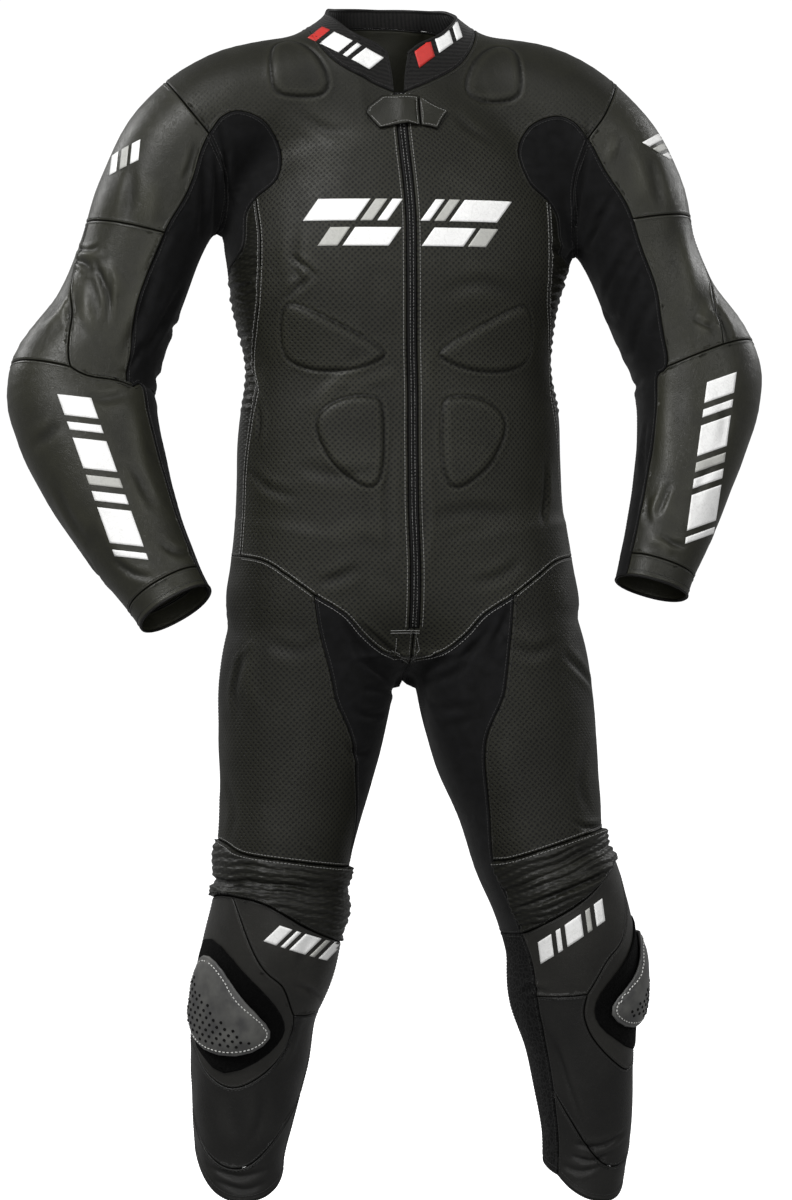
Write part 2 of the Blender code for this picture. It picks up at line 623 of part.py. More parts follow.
TORSO_CHART = TorsoChart()
CHARTS = {
    side: {
        "torso": TORSO_CHART,
        "chest": TorsoChart(CHART_SHIFT),
        "nape": TorsoChart(-CHART_SHIFT),
        "arm": LimbChart(ARMS[side], side),
        "leg": LimbChart(LEGS[side], side),
    }
    for side in (-1, 1)
}


# Height that the centre line is taken at, and the height that the ray starts from.
LOOKS_UP_OR_DOWN = {"top": (-40.0, 300.0), "armpit": (-240.0, -330.0), "under": (-700.0, -1100.0)}


def spot_point(face, a, b, side):
    """The place on the cloth that a spot names, on the side given."""
    if face in ("arm", "leg"):
        uv = np.array([[math.radians(a) * LIMB_RADIUS, b * STATION]])
        return CHARTS[side][face].point(uv)[0]
    if face == "ring":
        angle = math.radians(a) * side
        way = math.sin(angle) * ACROSS + math.cos(angle) * FORWARD
        return cast(TORSO_CHART.axis(np.array([b])), way[None], inside=True)[0]
    if face in LOOKS_UP_OR_DOWN:
        height, start = LOOKS_UP_OR_DOWN[face]
        base = TORSO_CHART.axis(np.array([height]))[0] + side * a * ACROSS - b * FORWARD
        way = UP if height > start else -UP
        base[2] = start
    else:
        way = -FORWARD if face == "front" else FORWARD
        base = TORSO_CHART.axis(np.array([b]))[0] + side * a * ACROSS - 400.0 * way
    return cast(base[None], way[None], inside=False)[0]


# --- Seams ---------------------------------------------------------------------------------------

CENTRE_NAMES = {spot.name for spot in CENTRE_SPOTS}


def find_spots():
    places = {(spot.name, side): spot_point(*spot[1:], side) for side in (-1, 1) for spot in SPOTS}
    for spot in CENTRE_SPOTS:
        places[spot.name, 1] = places[spot.name, -1] = spot_point(*spot[1:], 1)
    return places


def spaced(curve, step):
    """A dense curve cut into equal pieces, no longer than the step and shorter where it bends."""
    ways = np.diff(curve, axis=0)
    run = np.r_[0, np.cumsum(np.linalg.norm(ways, axis=1))]
    ways = unit(ways)
    turn = np.arccos(np.clip(dot(ways[1:], ways[:-1]), -1, 1)).sum()
    bends = min(round(turn / SEAM_TURN), round(run[-1] / LEAST_STEP))
    count = max(1, math.ceil(run[-1] / step), bends)
    marks = np.linspace(0, run[-1], count + 1)
    return np.stack([np.interp(marks, run, curve[:, k]) for k in range(3)], axis=1)


def unwrapped(uv, radius):
    """The loop's points with no jump of a whole turn between them."""
    turns = np.cumsum(np.r_[0, np.round(np.diff(uv[:, 0]) / (2 * math.pi * radius))])
    return np.stack([uv[:, 0] - (turns * 2 * math.pi * radius if turns.any() else 0), uv[:, 1]], axis=1)


def seam_curve(start, end, seam, side):
    """Points along a seam, from the start to the end."""
    via = [spot_point(*place, side) for place in seam.via]
    route = np.array([start, *via, end])
    if seam.chart == "free":
        curve = settled(smooth(route, 12)) if len(route) > 2 else settled(np.linspace(start, end, 13))
    else:
        chart = CHARTS[side][seam.chart]
        curve = chart.point(smooth(unwrapped(chart.uv(route), chart.radius), 12))
    curve = settled(spaced(curve, SEAM_STEP))
    curve[0], curve[-1] = start, end
    return curve


class Seams:
    """Every seam once, so that the panels on its two sides share its points."""

    def __init__(self, places):
        self.places, self.made = places, {}

    def between(self, first, second):
        side = second[1] if first[0] in CENTRE_NAMES else first[1]
        if first[0] in CENTRE_NAMES and second[0] in CENTRE_NAMES:
            side = 1
        for seam in SEAMS:
            if {seam.start, seam.end} == {first[0], second[0]}:
                break
        else:
            seam = Seam(first[0], second[0], "free", ())
        key = (seam.start, seam.end, side)
        if key not in self.made:
            ends = (self.places[seam.start, self.side_of(seam.start, first, second)],
                    self.places[seam.end, self.side_of(seam.end, first, second)])
            self.made[key] = seam_curve(*ends, seam, side)
        curve = self.made[key]
        return curve if seam.start == first[0] else curve[::-1]

    def side_of(self, name, first, second):
        return first[1] if name == first[0] else second[1]

    def outline(self, corners):
        curves = [self.between(a, b)[:-1] for a, b in zip(corners, corners[1:] + corners[:1])]
        return np.vstack(curves)


# --- Panels --------------------------------------------------------------------------------------

def within(points, loop):
    """Whether each point lies inside the closed loop, in the plane."""
    x, y = points[:, :1], points[:, 1:]
    ax, ay = loop[:, 0], loop[:, 1]
    bx, by = np.roll(ax, -1), np.roll(ay, -1)
    rise = np.where(by == ay, 1e-12, by - ay)
    crossed = ((ay > y) != (by > y)) & (x < (bx - ax) * (y - ay) / rise + ax)
    return crossed.sum(1) % 2 == 1


def distances(points, loop):
    """Distance from each point to each straight piece of the loop."""
    d = np.roll(loop, -1, axis=0) - loop
    q = points[:, None] - loop[None]
    w = np.clip(dot(q, d[None]) / np.maximum(dot(d, d), 1e-9), 0, 1)
    return np.linalg.norm(q - w[..., None] * d, axis=-1)


def clearance(points, loop):
    """Distance from each point to the loop."""
    return distances(points, loop).min(1)


def grid_points(loop, du, dv, first_row=0.0):
    """Staggered rows of points over the loop's box."""
    low, high = loop.min(0), loop.max(0)
    rows = np.arange(math.ceil((low[1] - first_row) / dv), (high[1] - first_row) / dv)
    points = [
        (low[0] + (k + 0.5 * (row % 2)) * du, first_row + row * dv)
        for row in rows
        for k in range(int((high[0] - low[0]) / du) + 1)
    ]
    return np.array(points).reshape(-1, 2)


class Layout:
    """Points and lines on a chart, cut into triangles."""

    def __init__(self, loop):
        self.loop = loop
        self.points = [tuple(p) for p in loop]
        self.edges = [(k, (k + 1) % len(loop)) for k in range(len(loop))]

    def add(self, points, closed=False, reach=0.0):
        """Adds points, joined in a loop or, up to the reach, each to the next."""
        first = len(self.points)
        self.points += [tuple(p) for p in points]
        for k, (a, b) in enumerate(zip(points, points[1:])):
            if closed or math.dist(a, b) < reach:
                self.edges.append((first + k, first + k + 1))
        if closed:
            self.edges.append((first + len(points) - 1, first))

    def triangles(self):
        places = [Vector(p) for p in self.points]
        verts, _, faces, known, _, _ = delaunay_2d_cdt(places, self.edges, [], 1, 1e-5)
        origin = [ids[0] if ids else -1 for ids in known]
        return np.array([v[:] for v in verts]), faces, origin


def inset(loop, distance):
    """The loop drawn in towards its middle."""
    middle = loop.mean(0)
    away = loop - middle
    reach = np.linalg.norm(away, axis=1, keepdims=True)
    return middle + away * (1 - distance / reach)


def pad_loops(pad, chart, side):
    """A pad's outline, and the edge of its flat top, on the chart."""
    ring = [spot_point(*place, side) for place in pad.outline]
    outer = unwrapped(chart.uv(smooth_loop(ring, 2)), chart.radius)
    return outer, inset(outer, pad.edge)


def panel_layout(name, loop, outline, chart, side):
    """The panel's points and creases on its chart, and a function that gives the rise at a point."""
    layout = Layout(loop)
    pads = [pad_loops(pad, chart, side) + (pad.rise,) for pad in PADS if pad.panel == name]
    ribs = next((row for row in RIBS if row.panel == name), None)
    keep_off = 0.42 * GRID
    grid = grid_points(loop, GRID, 0.87 * GRID)
    if ribs:
        half = ribs.pitch / 2
        for row in np.arange(ribs.low + half, ribs.high - 1, half):
            line = np.arange(loop[:, 0].min(), loop[:, 0].max(), RIB_STEP)
            line = np.stack([line, np.full(len(line), row)], axis=1)
            line = line[within(line, loop)]
            line = line[clearance(line, loop) > half]
            layout.add(reachable(line, loop, outline, chart), reach=1.1 * RIB_STEP)
        grid = grid[(grid[:, 1] < ribs.low - half) | (grid[:, 1] > ribs.high + half)]
    grid = grid[within(grid, loop)]
    if len(grid):
        grid = grid[clearance(grid, loop) > keep_off]
    for outer, inner, _ in pads:
        layout.add(outer, closed=True)
        layout.add(inner, closed=True)
        for edge in (outer, inner):
            grid = grid[clearance(grid, edge) > 0.3 * GRID]
    layout.add(reachable(grid, loop, outline, chart))

    def rise(uv):
        height = np.zeros(len(uv))
        for _, inner, up in pads:
            height[within(uv, inset(inner, -0.5))] = up
        if ribs:
            inside = (uv[:, 1] > ribs.low) & (uv[:, 1] < ribs.high)
            wave = 0.5 - 0.5 * np.cos(2 * math.pi * (uv[:, 1] - ribs.low) / ribs.pitch)
            height += np.where(inside, ribs.rise * wave, 0)
            if name == "knee_pleats":
                height += PLEAT_PUFF * np.abs(np.sin(math.pi * (uv[:, 1] - ribs.low) / PLEAT_PERIOD))
        return height

    return layout, rise


def reachable(grid, loop, outline, chart):
    """The grid's points that are inside the panel in space too: a ray may leave it at a fold."""
    if not len(grid):
        return grid
    places = chart.point(grid)
    away = np.linalg.norm(places[:, None] - outline[None], axis=-1).min(1)
    far = distances(grid, loop)
    nearest = far.argmin(1)
    start, end = outline[nearest], np.roll(outline, -1, axis=0)[nearest]
    inward = unit(np.cross(normals((start + end) / 2), end - start))
    depth = dot(places - start, inward)
    depth *= np.sign(depth.sum())
    return grid[(away < 2.5 * far.min(1) + 25) & (depth > LEAST_DEPTH)]


def sheet(layout, chart, known):
    """The open sheet of a layout: points on the surface and triangles that face out."""
    uv, faces, origin = layout.triangles()
    points = chart.point(uv)
    for k, source in enumerate(origin):
        if 0 <= source < len(known):
            points[k] = known[source]
    outward = normals(points)
    a, b, c = (points[[face[k] for face in faces]] for k in range(3))
    facing = dot(np.cross(b - a, c - a), outward[[face[0] for face in faces]]).sum()
    return uv, points, outward, faces if facing > 0 else [face[::-1] for face in faces]


def drawn_in(bm, outward, distance):
    """How far each point of the sheet's edge moves into the sheet."""
    shift = np.zeros((len(bm.verts), 3))
    sides = [[] for _ in bm.verts]
    for edge in bm.edges:
        if not edge.is_boundary:
            continue
        loop = edge.link_loops[0]
        start, end = loop.vert, loop.link_loop_next.vert
        along = np.array(end.co - start.co)
        way = unit(np.cross(outward[start.index] + outward[end.index], along))
        sides[start.index].append(way)
        sides[end.index].append(way)
    for k, ways in enumerate(sides):
        if ways:
            middle = unit(sum(ways))
            shift[k] = middle * distance / max(float(np.dot(middle, ways[0])), 0.3)
    return shift


def wall(name, cloth, points, outward, faces, low, high, gap):
    """A closed wall over a sheet, from low to high above its points."""
    bm = bmesh.new()
    for p in points:
        bm.verts.new(p)
    bm.verts.ensure_lookup_table()
    bm.verts.index_update()
    for face in faces:
        bm.faces.new([bm.verts[k] for k in face])
    loose = [v.index for v in bm.verts if not v.link_faces]
    shift = drawn_in(bm, outward, gap / 2)
    base = points + shift
    for v in bm.verts:
        v.co = base[v.index] + low[v.index] * outward[v.index]
    kept = bm.faces[:]
    order = bm.verts[:]
    made = bmesh.ops.extrude_face_region(bm, geom=kept, use_keep_orig=True)
    raised = [g for g in made["geom"] if isinstance(g, bmesh.types.BMVert)]
    inner = {tuple(round(c, 6) for c in v.co): v.index for v in order}
    for v in raised:
        k = inner[tuple(round(c, 6) for c in v.co)]
        v.co = base[k] + high[k] * outward[k]
    bmesh.ops.delete(bm, geom=[order[k] for k in loose], context="VERTS")
    bmesh.ops.recalc_face_normals(bm, faces=bm.faces[:])
    if bm.calc_volume(signed=True) < 0:
        bmesh.ops.reverse_faces(bm, faces=bm.faces[:])
    bmesh.ops.triangulate(bm, faces=bm.faces[:], quad_method="SHORT_EDGE", ngon_method="BEAUTY")
    bmesh.ops.scale(bm, vec=(MM, MM, MM), verts=bm.verts[:])
    return finished(name, cloth, bm)


def material(cloth):
    found = bpy.data.materials.get(cloth)
    if found:
        return found
    made = bpy.data.materials.new(cloth)
    made.use_nodes = True
    colour, rough = FINISH[cloth]
    shader = made.node_tree.nodes["Principled BSDF"]
    shader.inputs["Base Color"].default_value = (*colour, 1)
    shader.inputs["Roughness"].default_value = rough
    shader.inputs["Metallic"].default_value = 1.0 if cloth == "metal" else 0.0
    return made


def finished(name, cloth, bm):
    mesh = bpy.data.meshes.new(name)
    bm.to_mesh(mesh)
    bm.free()
    mesh.shade_smooth()
    mesh.set_sharp_from_angle(angle=math.radians(40))
    mesh.materials.append(material(cloth))
    made = bpy.data.objects.new(name, mesh)
    bpy.data.collections["race_suit"].objects.link(made)
    return made


def build_panel(panel, name, corners, seams, side):
    outline = seams.outline(corners)
    chart = FlatChart(outline) if panel.chart == "flat" else CHARTS[side][panel.chart]
    loop = unwrapped(chart.uv(outline), chart.radius)
    layout, rise = panel_layout(panel.name, loop, outline, chart, side)
    uv, points, outward, faces = sheet(layout, chart, outline)
    edge = clearance(uv, loop) < 0.5
    up = np.where(edge, 0, rise(uv))
    low = np.full(len(points), -THICKNESS[panel.cloth])
    wall(name, panel.cloth, points, outward, faces, low, up, SEAM_GAP)


def build_patch(patch, name, side):
    """A piece that lies on the panels: thin at its edge, thicker in its middle."""
    chart = CHARTS[side][patch.chart]
    ring = np.array([spot_point(*place, side) for place in patch.outline])
    if patch.chart == "torso":
        route = np.vstack([spaced(np.array(pair), FINE_STEP)[:-1]
                           for pair in zip(ring, np.roll(ring, -1, axis=0))])
    else:
        route = smooth_loop(ring, 2)
    outline = settled(route)
    loop = unwrapped(chart.uv(outline), chart.radius)
    layout = Layout(loop)
    grid = grid_points(loop, FINE_STEP, 0.87 * FINE_STEP)
    grid = grid[within(grid, loop)]
    layout.add(grid[clearance(grid, loop) > 0.5 * FINE_STEP])
    uv, points, outward, faces = sheet(layout, chart, outline)
    depth = np.minimum(clearance(uv, loop) / (1.2 * FINE_STEP), 1)
    low = np.full(len(points), patch.lift)
    if patch.chart == "torso":
        low += ZIP_BULGE * np.exp(-((uv[:, 0] / (1.3 * FINE_STEP)) ** 2))
    high = low + patch.edge + (patch.middle - patch.edge) * np.sqrt(depth)
    wall(name, patch.cloth, points, outward, faces, low, high, SEAM_GAP)


def build_zip_slider():
    """The slider, closed, at the top of the zip under the tab."""
    place = spot_point("front", 0, ZIP_SLIDER_Z, 1)
    outward = normals(place[None])[0]
    bm = bmesh.new()
    bmesh.ops.create_cube(bm, size=1)
    bmesh.ops.scale(bm, vec=ZIP_SLIDER, verts=bm.verts[:])
    bmesh.ops.bevel(bm, geom=bm.edges[:], offset=0.6, segments=1, affect="EDGES", profile=0.5, material=-1)
    turn = Vector(outward).to_track_quat("Z", "Y").to_matrix()
    bmesh.ops.rotate(bm, matrix=turn, verts=bm.verts[:])
    centre = place + outward * (SEAM_GAP + ZIP_SLIDER.z / 2 + 0.3)
    bmesh.ops.translate(bm, vec=centre, verts=bm.verts[:])
    bmesh.ops.scale(bm, vec=(MM, MM, MM), verts=bm.verts[:])
    finished("zip_slider", "metal", bm)


def main():
    for obj in list(bpy.data.objects):
        bpy.data.objects.remove(obj)
    bpy.context.scene.collection.children.link(bpy.data.collections.new("race_suit"))
    seams = Seams(find_spots())
    for panel in CENTRE_PANELS:
        corners = [(c.lstrip("-"), -1 if c.startswith("-") else 1) for c in panel.corners]
        build_panel(panel, panel.name, corners, seams, 1)
    for patch in PATCHES:
        build_patch(patch, patch.name, 1)
    build_zip_slider()
    for side, label in ((-1, "left"), (1, "right")):
        for panel in SIDE_PANELS:
            corners = [(corner, side) for corner in panel.corners]
            build_panel(panel, f"{panel.name}_{label}", corners, seams, side)
        for patch in SIDE_PATCHES:
            build_patch(patch, f"{patch.name}_{label}", side)


main()
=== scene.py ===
"""Motorcycle race suit: the cloth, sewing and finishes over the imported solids.

The tables and the shape functions work in millimetres, in the frame of the solids: +Z up, the suit
faces -Y. Each cloth piece starts from the outer face of its solid. It is cut finer, laid on the
smooth form, pulled into folds and given its thickness again.
"""

import math
from collections import namedtuple

import bmesh
import bpy
import numpy as np
from mathutils import Matrix, Vector
from mathutils.bvhtree import BVHTree
from mathutils.kdtree import KDTree


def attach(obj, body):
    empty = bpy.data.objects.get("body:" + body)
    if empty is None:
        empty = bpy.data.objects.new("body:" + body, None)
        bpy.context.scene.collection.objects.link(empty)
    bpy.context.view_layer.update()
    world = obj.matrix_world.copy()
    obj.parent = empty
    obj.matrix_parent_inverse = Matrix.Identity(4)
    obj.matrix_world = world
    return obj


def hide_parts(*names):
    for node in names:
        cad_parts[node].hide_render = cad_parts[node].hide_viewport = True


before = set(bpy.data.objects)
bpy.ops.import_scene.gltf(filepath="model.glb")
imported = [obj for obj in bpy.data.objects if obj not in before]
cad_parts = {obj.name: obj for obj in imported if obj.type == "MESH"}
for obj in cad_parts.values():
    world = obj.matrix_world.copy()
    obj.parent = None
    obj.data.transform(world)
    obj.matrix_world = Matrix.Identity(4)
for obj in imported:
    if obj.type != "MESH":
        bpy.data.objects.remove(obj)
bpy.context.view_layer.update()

MM = 0.001
FAR = 700.0  # well outside the suit

# Body
YAW = math.radians(8)  # the chest is turned this far to +X
BLEND = 42.0  # radius of the blend at shoulders and hips
CROTCH_BLEND = 14.0
SECTION_POWER = 2.2  # 2 is an ellipse, more is squarer

# Each section: x, y and z of the axis, half width, depth in front of and behind the axis, and the
# direction that the section's front faces, in degrees from -Y towards +X.
TORSO = (
    (-23, 14, 92, 66, 58, 62, 8), (-22, 13, 50, 73, 66, 68, 8), (-21, 12, 22, 92, 76, 78, 8),
    (-20, 10, -20, 104, 84, 88, 8), (-20, 10, -60, 118, 92, 94, 8), (-18, 8, -110, 155, 104, 106, 8),
    (-13, 5, -170, 192, 122, 120, 8), (-10, 2, -240, 206, 132, 124, 8),
    (-11, 0, -300, 200, 131, 120, 8), (-8, 0, -380, 185, 120, 110, 8), (-7, 0, -450, 194, 118, 108, 8),
    (-7, 2, -540, 198, 120, 116, 8), (-4, 4, -620, 203, 118, 128, 8), (-4, 6, -680, 196, 108, 128, 8),
    (-3, 8, -722, 120, 84, 104, 8),
)
ARM_LEFT = (
    (-60, -23, -44, 62, 62, 66, 10), (-130, -23, -54, 68, 70, 74, 10), (-205, -23, -78, 75, 78, 82, 10),
    (-262, -25, -124, 77, 80, 82, 10), (-300, -27, -190, 73, 76, 78, 10),
    (-325, -29, -262, 71, 70, 74, 10), (-353, -31, -332, 73, 70, 78, 10),
    (-386, -35, -402, 89, 76, 86, 10), (-383, -47, -448, 87, 74, 84, 10),
    (-362, -65, -508, 79, 68, 74, 10), (-328, -87, -581, 64, 60, 64, 10),
    (-287, -111, -650, 50, 49, 51, 10), (-263, -125, -690, 47, 45, 47, 10),
    (-241, -137, -730, 45, 43, 45, 10),
)
ARM_RIGHT = (
    (20, 39, -38, 62, 62, 66, 10), (92, 39, -48, 68, 70, 74, 10), (166, 39, -68, 74, 78, 82, 10),
    (226, 37, -116, 76, 80, 82, 10), (266, 35, -176, 73, 76, 78, 10), (288, 33, -250, 67, 70, 74, 10),
    (316, 31, -316, 68, 70, 78, 10), (351, 27, -378, 76, 74, 84, 10), (356, 19, -420, 75, 73, 82, 10),
    (346, 1, -480, 65, 64, 70, 10), (326, -21, -556, 54, 55, 58, 10), (304, -41, -622, 46, 46, 48, 10),
    (291, -53, -668, 44, 43, 45, 10), (280, -63, -708, 43, 42, 44, 10),
)
LEG_LEFT = (
    (-92, -4, -600, 84, 90, 100, 8), (-110, -6, -690, 98, 102, 116, 8),
    (-119, -10, -762, 104, 102, 112, 10), (-127, -16, -835, 98, 98, 100, 10),
    (-137, -24, -908, 86, 92, 90, 14), (-147, -34, -972, 78, 88, 78, 19),
    (-153, -36, -1035, 78, 86, 70, 24), (-166, -28, -1095, 80, 82, 72, 25),
    (-181, -16, -1155, 73, 72, 80, 25), (-187, -4, -1220, 69, 64, 78, 22),
    (-196, 8, -1289, 60, 56, 66, 20), (-200, 16, -1340, 53, 50, 56, 20),
    (-198, 20, -1400, 49, 48, 52, 20),
)
LEG_RIGHT = (
    (88, 12, -600, 84, 90, 100, 8), (106, 10, -690, 99, 102, 116, 8), (119, 6, -762, 105, 102, 112, 10),
    (132, 0, -835, 100, 98, 100, 10), (148, -8, -904, 87, 92, 90, 14), (159, -18, -962, 79, 88, 78, 19),
    (182, -20, -1020, 78, 86, 70, 24), (198, -14, -1078, 76, 82, 72, 25),
    (204, -2, -1138, 76, 72, 80, 25), (213, 10, -1206, 63, 64, 76, 22),
    (220, 24, -1289, 55, 54, 62, 20), (219, 32, -1340, 50, 48, 54, 20),
    (214, 36, -1400, 46, 46, 50, 20),
)

# Charts: angles are measured as lengths at these radii.
TORSO_RADIUS = 175.0
LIMB_RADIUS = 66.0
STATION = 66.0  # distance between a limb's sections on its chart

# Named points. face says how a point is found on the cloth:
#   front, back: a across from the centre line, b height
#   top, armpit, under: a across from the centre line, b depth (+Y)
#   ring:        a angle from the front in degrees, b height
#   arm, leg:    a angle from the limb's front towards its outer side, b station along its sections
Spot = namedtuple("Spot", "name face a b")
SPOTS = [Spot(*row) for row in (
    ("neck_front", "front", 6, -60), ("neck_side", "top", 104, 10), ("collar_front", "front", 12, -13),
    ("zip_foot", "front", 6, -699), ("shoulder", "top", 270, 8), ("armhole_front", "front", 228, -112),
    ("armhole_back", "back", 228, -118), ("armpit", "armpit", 221, 3), ("side_top", "ring", 93, -276),
    ("lobe_foot", "front", 176, -186), ("waist_side", "ring", 107, -430),
    ("hip_front", "ring", 80, -613), ("hip_back", "ring", 106, -613),
    ("thigh_corner", "front", 119, -660), ("seat_corner", "back", 70, -678),
    ("mid_front", "arm", -12, 4.45), ("mid_cup", "arm", 80, 4.6), ("mid_back", "arm", 208, 4.45),
    ("elbow_front", "arm", -38, 7.0), ("elbow_cup", "arm", 20, 7.0), ("elbow_back", "arm", 222, 7.0),
    ("cuff_front", "arm", -60, 11.1), ("cuff_back", "arm", 252, 11.1),
    ("cuff_end_front", "arm", -60, 11.6), ("cuff_end_back", "arm", 252, 11.6),
    ("cuff_inner", "arm", -84, 11.6), ("pleat_outer", "leg", 115, 4.85),
    ("pleat_inner", "leg", -62, 5.05), ("knee_outer", "leg", 115, 6.0), ("knee_arc", "leg", 66, 5.8),
    ("knee_inner", "leg", -66, 6.4), ("knee_back", "leg", -126, 6.4), ("cup_inner", "leg", -15, 7.75),
    ("calf_front", "leg", -62, 7.75), ("cup_outer", "leg", 115, 8.6), ("shin_outer", "leg", 115, 9.95),
    ("shin_inner", "leg", -62, 9.45), ("hem_outer", "leg", 115, 10.75),
    ("hem_inner", "leg", -62, 11.35), ("hem_back", "leg", -126, 11.15),
)]
# Points on the centre line, shared by the two sides.
CENTRE_SPOTS = [Spot(*row) for row in (
    ("neck_nape", "back", 0, 36), ("collar_nape", "back", 0, 57), ("yoke_middle", "back", 0, -150),
    ("waist_middle", "back", 0, -430), ("zip_end", "front", 0, -699),
    ("crotch_front", "front", 0, -738), ("seat", "back", 0, -702),
)]

# Seams, by how they bend: in space, or on a limb's chart. Each row has the two points that the seam
# joins and the places that it passes, which on a limb are angle and station.
Seam = namedtuple("Seam", "start end chart via")
SEAM_ROWS = {
    "free": (
        ("neck_front", "neck_side", ("front", 36, -47), ("front", 72, -27), ("front", 92, -4),
            ("top", 103, -20)),
        ("neck_side", "neck_nape", ("back", 84, 28), ("back", 45, 34)),
        ("collar_front", "collar_nape", ("front", 27, -1), ("front", 58, 15), ("ring", 74, 40),
            ("ring", 100, 50), ("back", 58, 54), ("back", 28, 57)),
        ("neck_front", "collar_front", ("front", 8, -36)),
        ("neck_front", "zip_foot", *(("front", 6, -60 - 71 * k) for k in range(1, 9))),
        ("zip_end", "zip_foot"), ("zip_end", "crotch_front"),
        ("neck_side", "shoulder", ("top", 150, 10), ("top", 210, 9)),
        ("shoulder", "armhole_front", ("front", 256, -74)),
        ("armhole_front", "armpit", ("front", 210, -165), ("front", 212, -206)),
        ("shoulder", "armhole_back", ("back", 254, -78)),
        ("armhole_back", "armpit", ("back", 212, -170), ("back", 214, -208)),
        ("armhole_back", "yoke_middle", ("back", 150, -132), ("back", 75, -146)),
        ("armhole_front", "lobe_foot", ("front", 212, -92), ("front", 190, -85),
            ("front", 160, -98), ("front", 143, -133), ("front", 153, -166)),
        ("lobe_foot", "side_top", ("front", 188, -206), ("ring", 75, -248)),
        ("armpit", "side_top", ("ring", 93, -262)),
        ("lobe_foot", "hip_front", ("front", 175, -240), ("front", 175, -302), ("front", 178, -339),
            ("front", 180, -381), ("ring", 76, -423), ("ring", 79, -500), ("ring", 80, -560)),
        ("side_top", "waist_side", ("ring", 103, -325), ("ring", 107, -380)),
        ("waist_side", "hip_back", ("ring", 107, -490), ("ring", 106, -550)),
        ("waist_side", "waist_middle", ("back", 150, -430), ("back", 75, -430)),
        ("hip_front", "hip_back"),
        ("hip_front", "thigh_corner", ("front", 176, -619), ("front", 151, -636)),
        ("thigh_corner", "crotch_front", ("front", 84, -682), ("front", 60, -708), ("front", 34, -728)),
        ("hip_back", "seat_corner", ("back", 160, -632), ("back", 115, -656)),
        ("seat_corner", "seat", ("back", 35, -694)),
        ("crotch_front", "seat", ("under", 0, -18), ("under", 0, 24), ("under", 0, 66)),
    ),
    "arm": (
        ("armhole_front", "mid_front", (-16, 3.6)), ("armhole_back", "mid_back", (204, 3.6)),
        ("mid_front", "mid_cup", (35, 4.52)), ("mid_cup", "mid_back", (140, 4.6)),
        ("mid_front", "elbow_front", (-11, 5.6), (-28, 6.5)), ("mid_back", "elbow_back", (210, 5.6)),
        ("mid_cup", "elbow_cup", (72, 5.4), (40, 6.3)), ("elbow_front", "elbow_cup"),
        ("elbow_cup", "elbow_back", (90, 7.05), (160, 7.05)),
        ("elbow_front", "cuff_front", (-54, 7.8), (-60, 9.5)),
        ("elbow_back", "cuff_back", (240, 8.0), (250, 9.5)),
        ("cuff_front", "cuff_back", (20, 11.1), (100, 11.1), (180, 11.1)),
        ("cuff_end_front", "cuff_end_back", (20, 11.6), (100, 11.6), (180, 11.6)),
        ("cuff_front", "cuff_end_front"), ("cuff_back", "cuff_end_back"),
    ),
    "leg": (
        ("thigh_corner", "pleat_inner", (-8, 2.0), (-14, 2.4), (-30, 3.0), (-44, 3.9), (-54, 4.6)),
        ("seat_corner", "knee_back", (-150, 2.2), (-140, 3.6), (-130, 5.2)),
        ("hip_back", "pleat_outer", (108, 1.6), (112, 3.2)),
        ("pleat_outer", "pleat_inner", (80, 4.95), (50, 5.1), (0, 5.14), (-40, 5.12)),
        ("pleat_outer", "knee_outer"), ("pleat_inner", "knee_inner"),
        ("knee_outer", "knee_arc", (90, 5.85)),
        ("knee_arc", "knee_inner", (35, 5.84), (0, 6.1), (-36, 6.28)), ("knee_inner", "knee_back"),
        ("knee_outer", "knee_back", (150, 6.3), (190, 6.4)),
        ("knee_arc", "cup_inner", (28, 6.86), (4, 7.2)),
        ("cup_inner", "cup_outer", (-19, 8.2), (-11, 8.66), (10, 9.07), (36, 9.3), (64, 9.18),
            (92, 8.85)),
        ("cup_inner", "calf_front"), ("knee_inner", "calf_front"), ("calf_front", "shin_inner"),
        ("shin_inner", "hem_inner"), ("knee_back", "hem_back", (-124, 8.0), (-124, 9.6)),
        ("knee_outer", "cup_outer"), ("cup_outer", "shin_outer"), ("shin_outer", "hem_outer"),
        ("shin_outer", "shin_inner", (100, 10.1), (66, 10.75), (30, 11.08), (-4, 10.88), (-42, 9.9)),
        ("hem_outer", "hem_inner", (85, 11.2), (55, 11.6), (25, 11.78), (-10, 11.76), (-38, 11.6)),
        ("hem_inner", "hem_back"), ("hem_outer", "hem_back", (150, 10.8), (190, 11.0)),
    ),
}
SEAMS = [
    Seam(start, end, chart, tuple(place if chart == "free" else (chart, *place) for place in via))
    for chart, rows in SEAM_ROWS.items() for start, end, *via in rows
]

